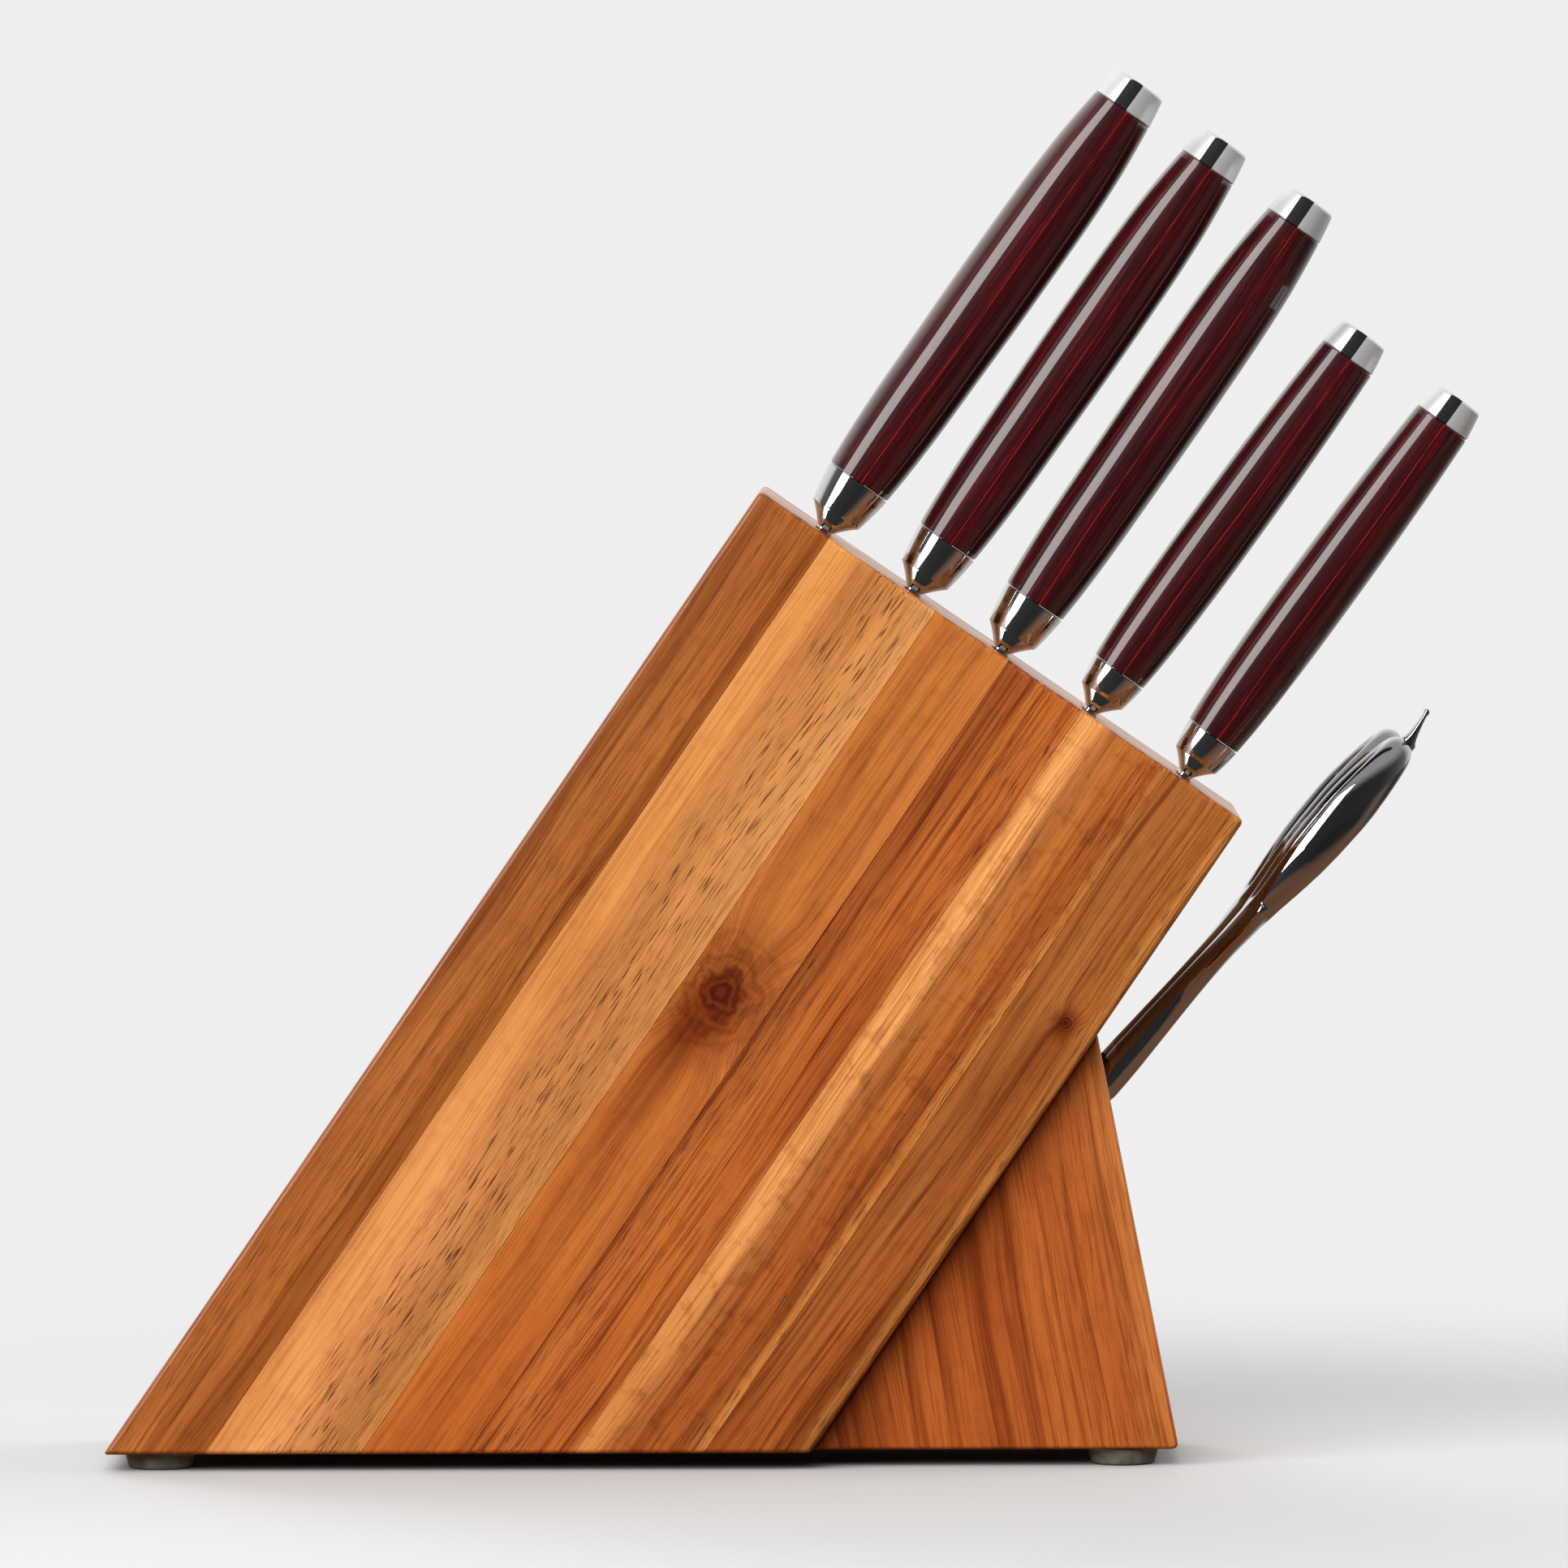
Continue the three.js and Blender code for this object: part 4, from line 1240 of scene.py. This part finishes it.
studio = {
    "background": 0.86,
    "floor": 0.50,
    "floorBounce": tone(112, 82, 62),     # what the floor throws back at the object
    "floorFade": (0.22, 0.52),     # metres from the middle, where the floor melts into the background
    # tones of the walls by heading, from -X through -Y, +X and +Y back to -X, and of what lies below them
    "walls": levels((0, 0.12), (0.10, 0.10), (0.17, 0.05), (0.25, 0.04), (0.36, 0.05), (0.46, 0.12),
                    (0.55, 0.25), (0.62, 0.90), (0.88, 0.95), (0.93, 0.7), (0.965, 0.14)),
    "below": [*levels((0, 0.10), (0.25, 0.03), (0.34, 0.04)),
              (0.40, (0.24, 0.185, 0.155, 1)), (0.44, (0.21, 0.16, 0.135, 1)),
              *levels((0.50, 0.05), (0.60, 0.10), (0.68, 0.5), (0.85, 0.5), (0.95, 0.1))],
    "ceiling": 0.55,
    "key": {"towards": (-0.63, -0.64, 0.44), "distance": 2.2, "size": (1.3, 1.7), "power": 44},
    "front": {"towards": (-0.1, -1, 0.55), "distance": 2.2, "size": (1.2, 1.2), "power": 36, "soft": True},
    "fill": {"towards": (0.9, 0.15, 0.5), "distance": 2.0, "size": (1.4, 1.4), "power": 22, "soft": True},
    "rear": {"towards": (-0.3, 1, 0.6), "distance": 2.2, "size": (1.4, 1.4), "power": 30, "soft": True},
}


def makeRoom(look):
    world = bpy.data.worlds.new("studio")
    scene.world = world
    tree = Tree(world)
    towards = tree.node("ShaderNodeTexCoord", {}, {}, "Generated")
    heading = tree.node("ShaderNodeTexGradient", {"gradient_type": "RADIAL"}, {"Vector": towards}, 1)
    height = tree.node("ShaderNodeSeparateXYZ", {}, {0: towards}).beside("Z")
    walls = tree.mix(tree.between(height, -0.14, -0.04), tree.ramp(heading, look["below"]),
                     tree.ramp(heading, look["walls"]))
    room = tree.mix(tree.between(height, 0.45, 0.85), walls, level(look["ceiling"]))
    seen = tree.node("ShaderNodeLightPath", {}, {}, "Is Camera Ray")
    colour = tree.mix(seen, room, level(look["background"]))
    shader = tree.node("ShaderNodeBackground", {}, {"Color": colour})
    tree.node("ShaderNodeOutputWorld", {}, {"Surface": shader})


def makeFloor(look):
    tree = newTree("floor")
    spot = tree.node("ShaderNodeTexCoord", {}, {}, "Object")
    away = tree.node("ShaderNodeVectorMath", {"operation": "LENGTH"}, {0: spot}, "Value")
    seen = tree.node("ShaderNodeLightPath", {}, {}, "Is Camera Ray")
    colour = tree.mix(seen, look["floorBounce"], level(look["floor"]))
    plain = tree.node("ShaderNodeBsdfDiffuse", {}, {"Color": colour})
    clear = tree.node("ShaderNodeBsdfTransparent")
    share = tree.between(away, *look["floorFade"])
    shader = tree.node("ShaderNodeMixShader", {}, {0: share, 1: plain, 2: clear})
    tree.node("ShaderNodeOutputMaterial", {}, {"Surface": shader})
    shape = bmesh.new()
    bmesh.ops.create_grid(shape, x_segments=1, y_segments=1, size=2)
    mesh = meshOf("floor", shape)
    mesh.materials.append(tree.owner)
    newObject("floor", mesh)


def softbox(name, look):
    lamp = bpy.data.lights.new(name, "AREA")
    lamp.shape = "RECTANGLE"
    lamp.size, lamp.size_y = look["size"]
    lamp.energy = look["power"]
    holder = newObject(name, lamp)
    towards = Vector(look["towards"]).normalized()
    target = Vector((0.03, 0, 0.18))
    turn = towards.to_track_quat("Z", "Y").to_matrix().to_4x4()
    holder.matrix_world = Matrix.Translation(target + towards * look["distance"]) @ turn
    holder.visible_camera = False
    holder.visible_glossy = not look.get("soft", False)


makeRoom(studio)
makeFloor(studio)
for lampName in ("key", "front", "fill", "rear"):
    softbox(lampName, studio[lampName])
print("knife block: studio done")
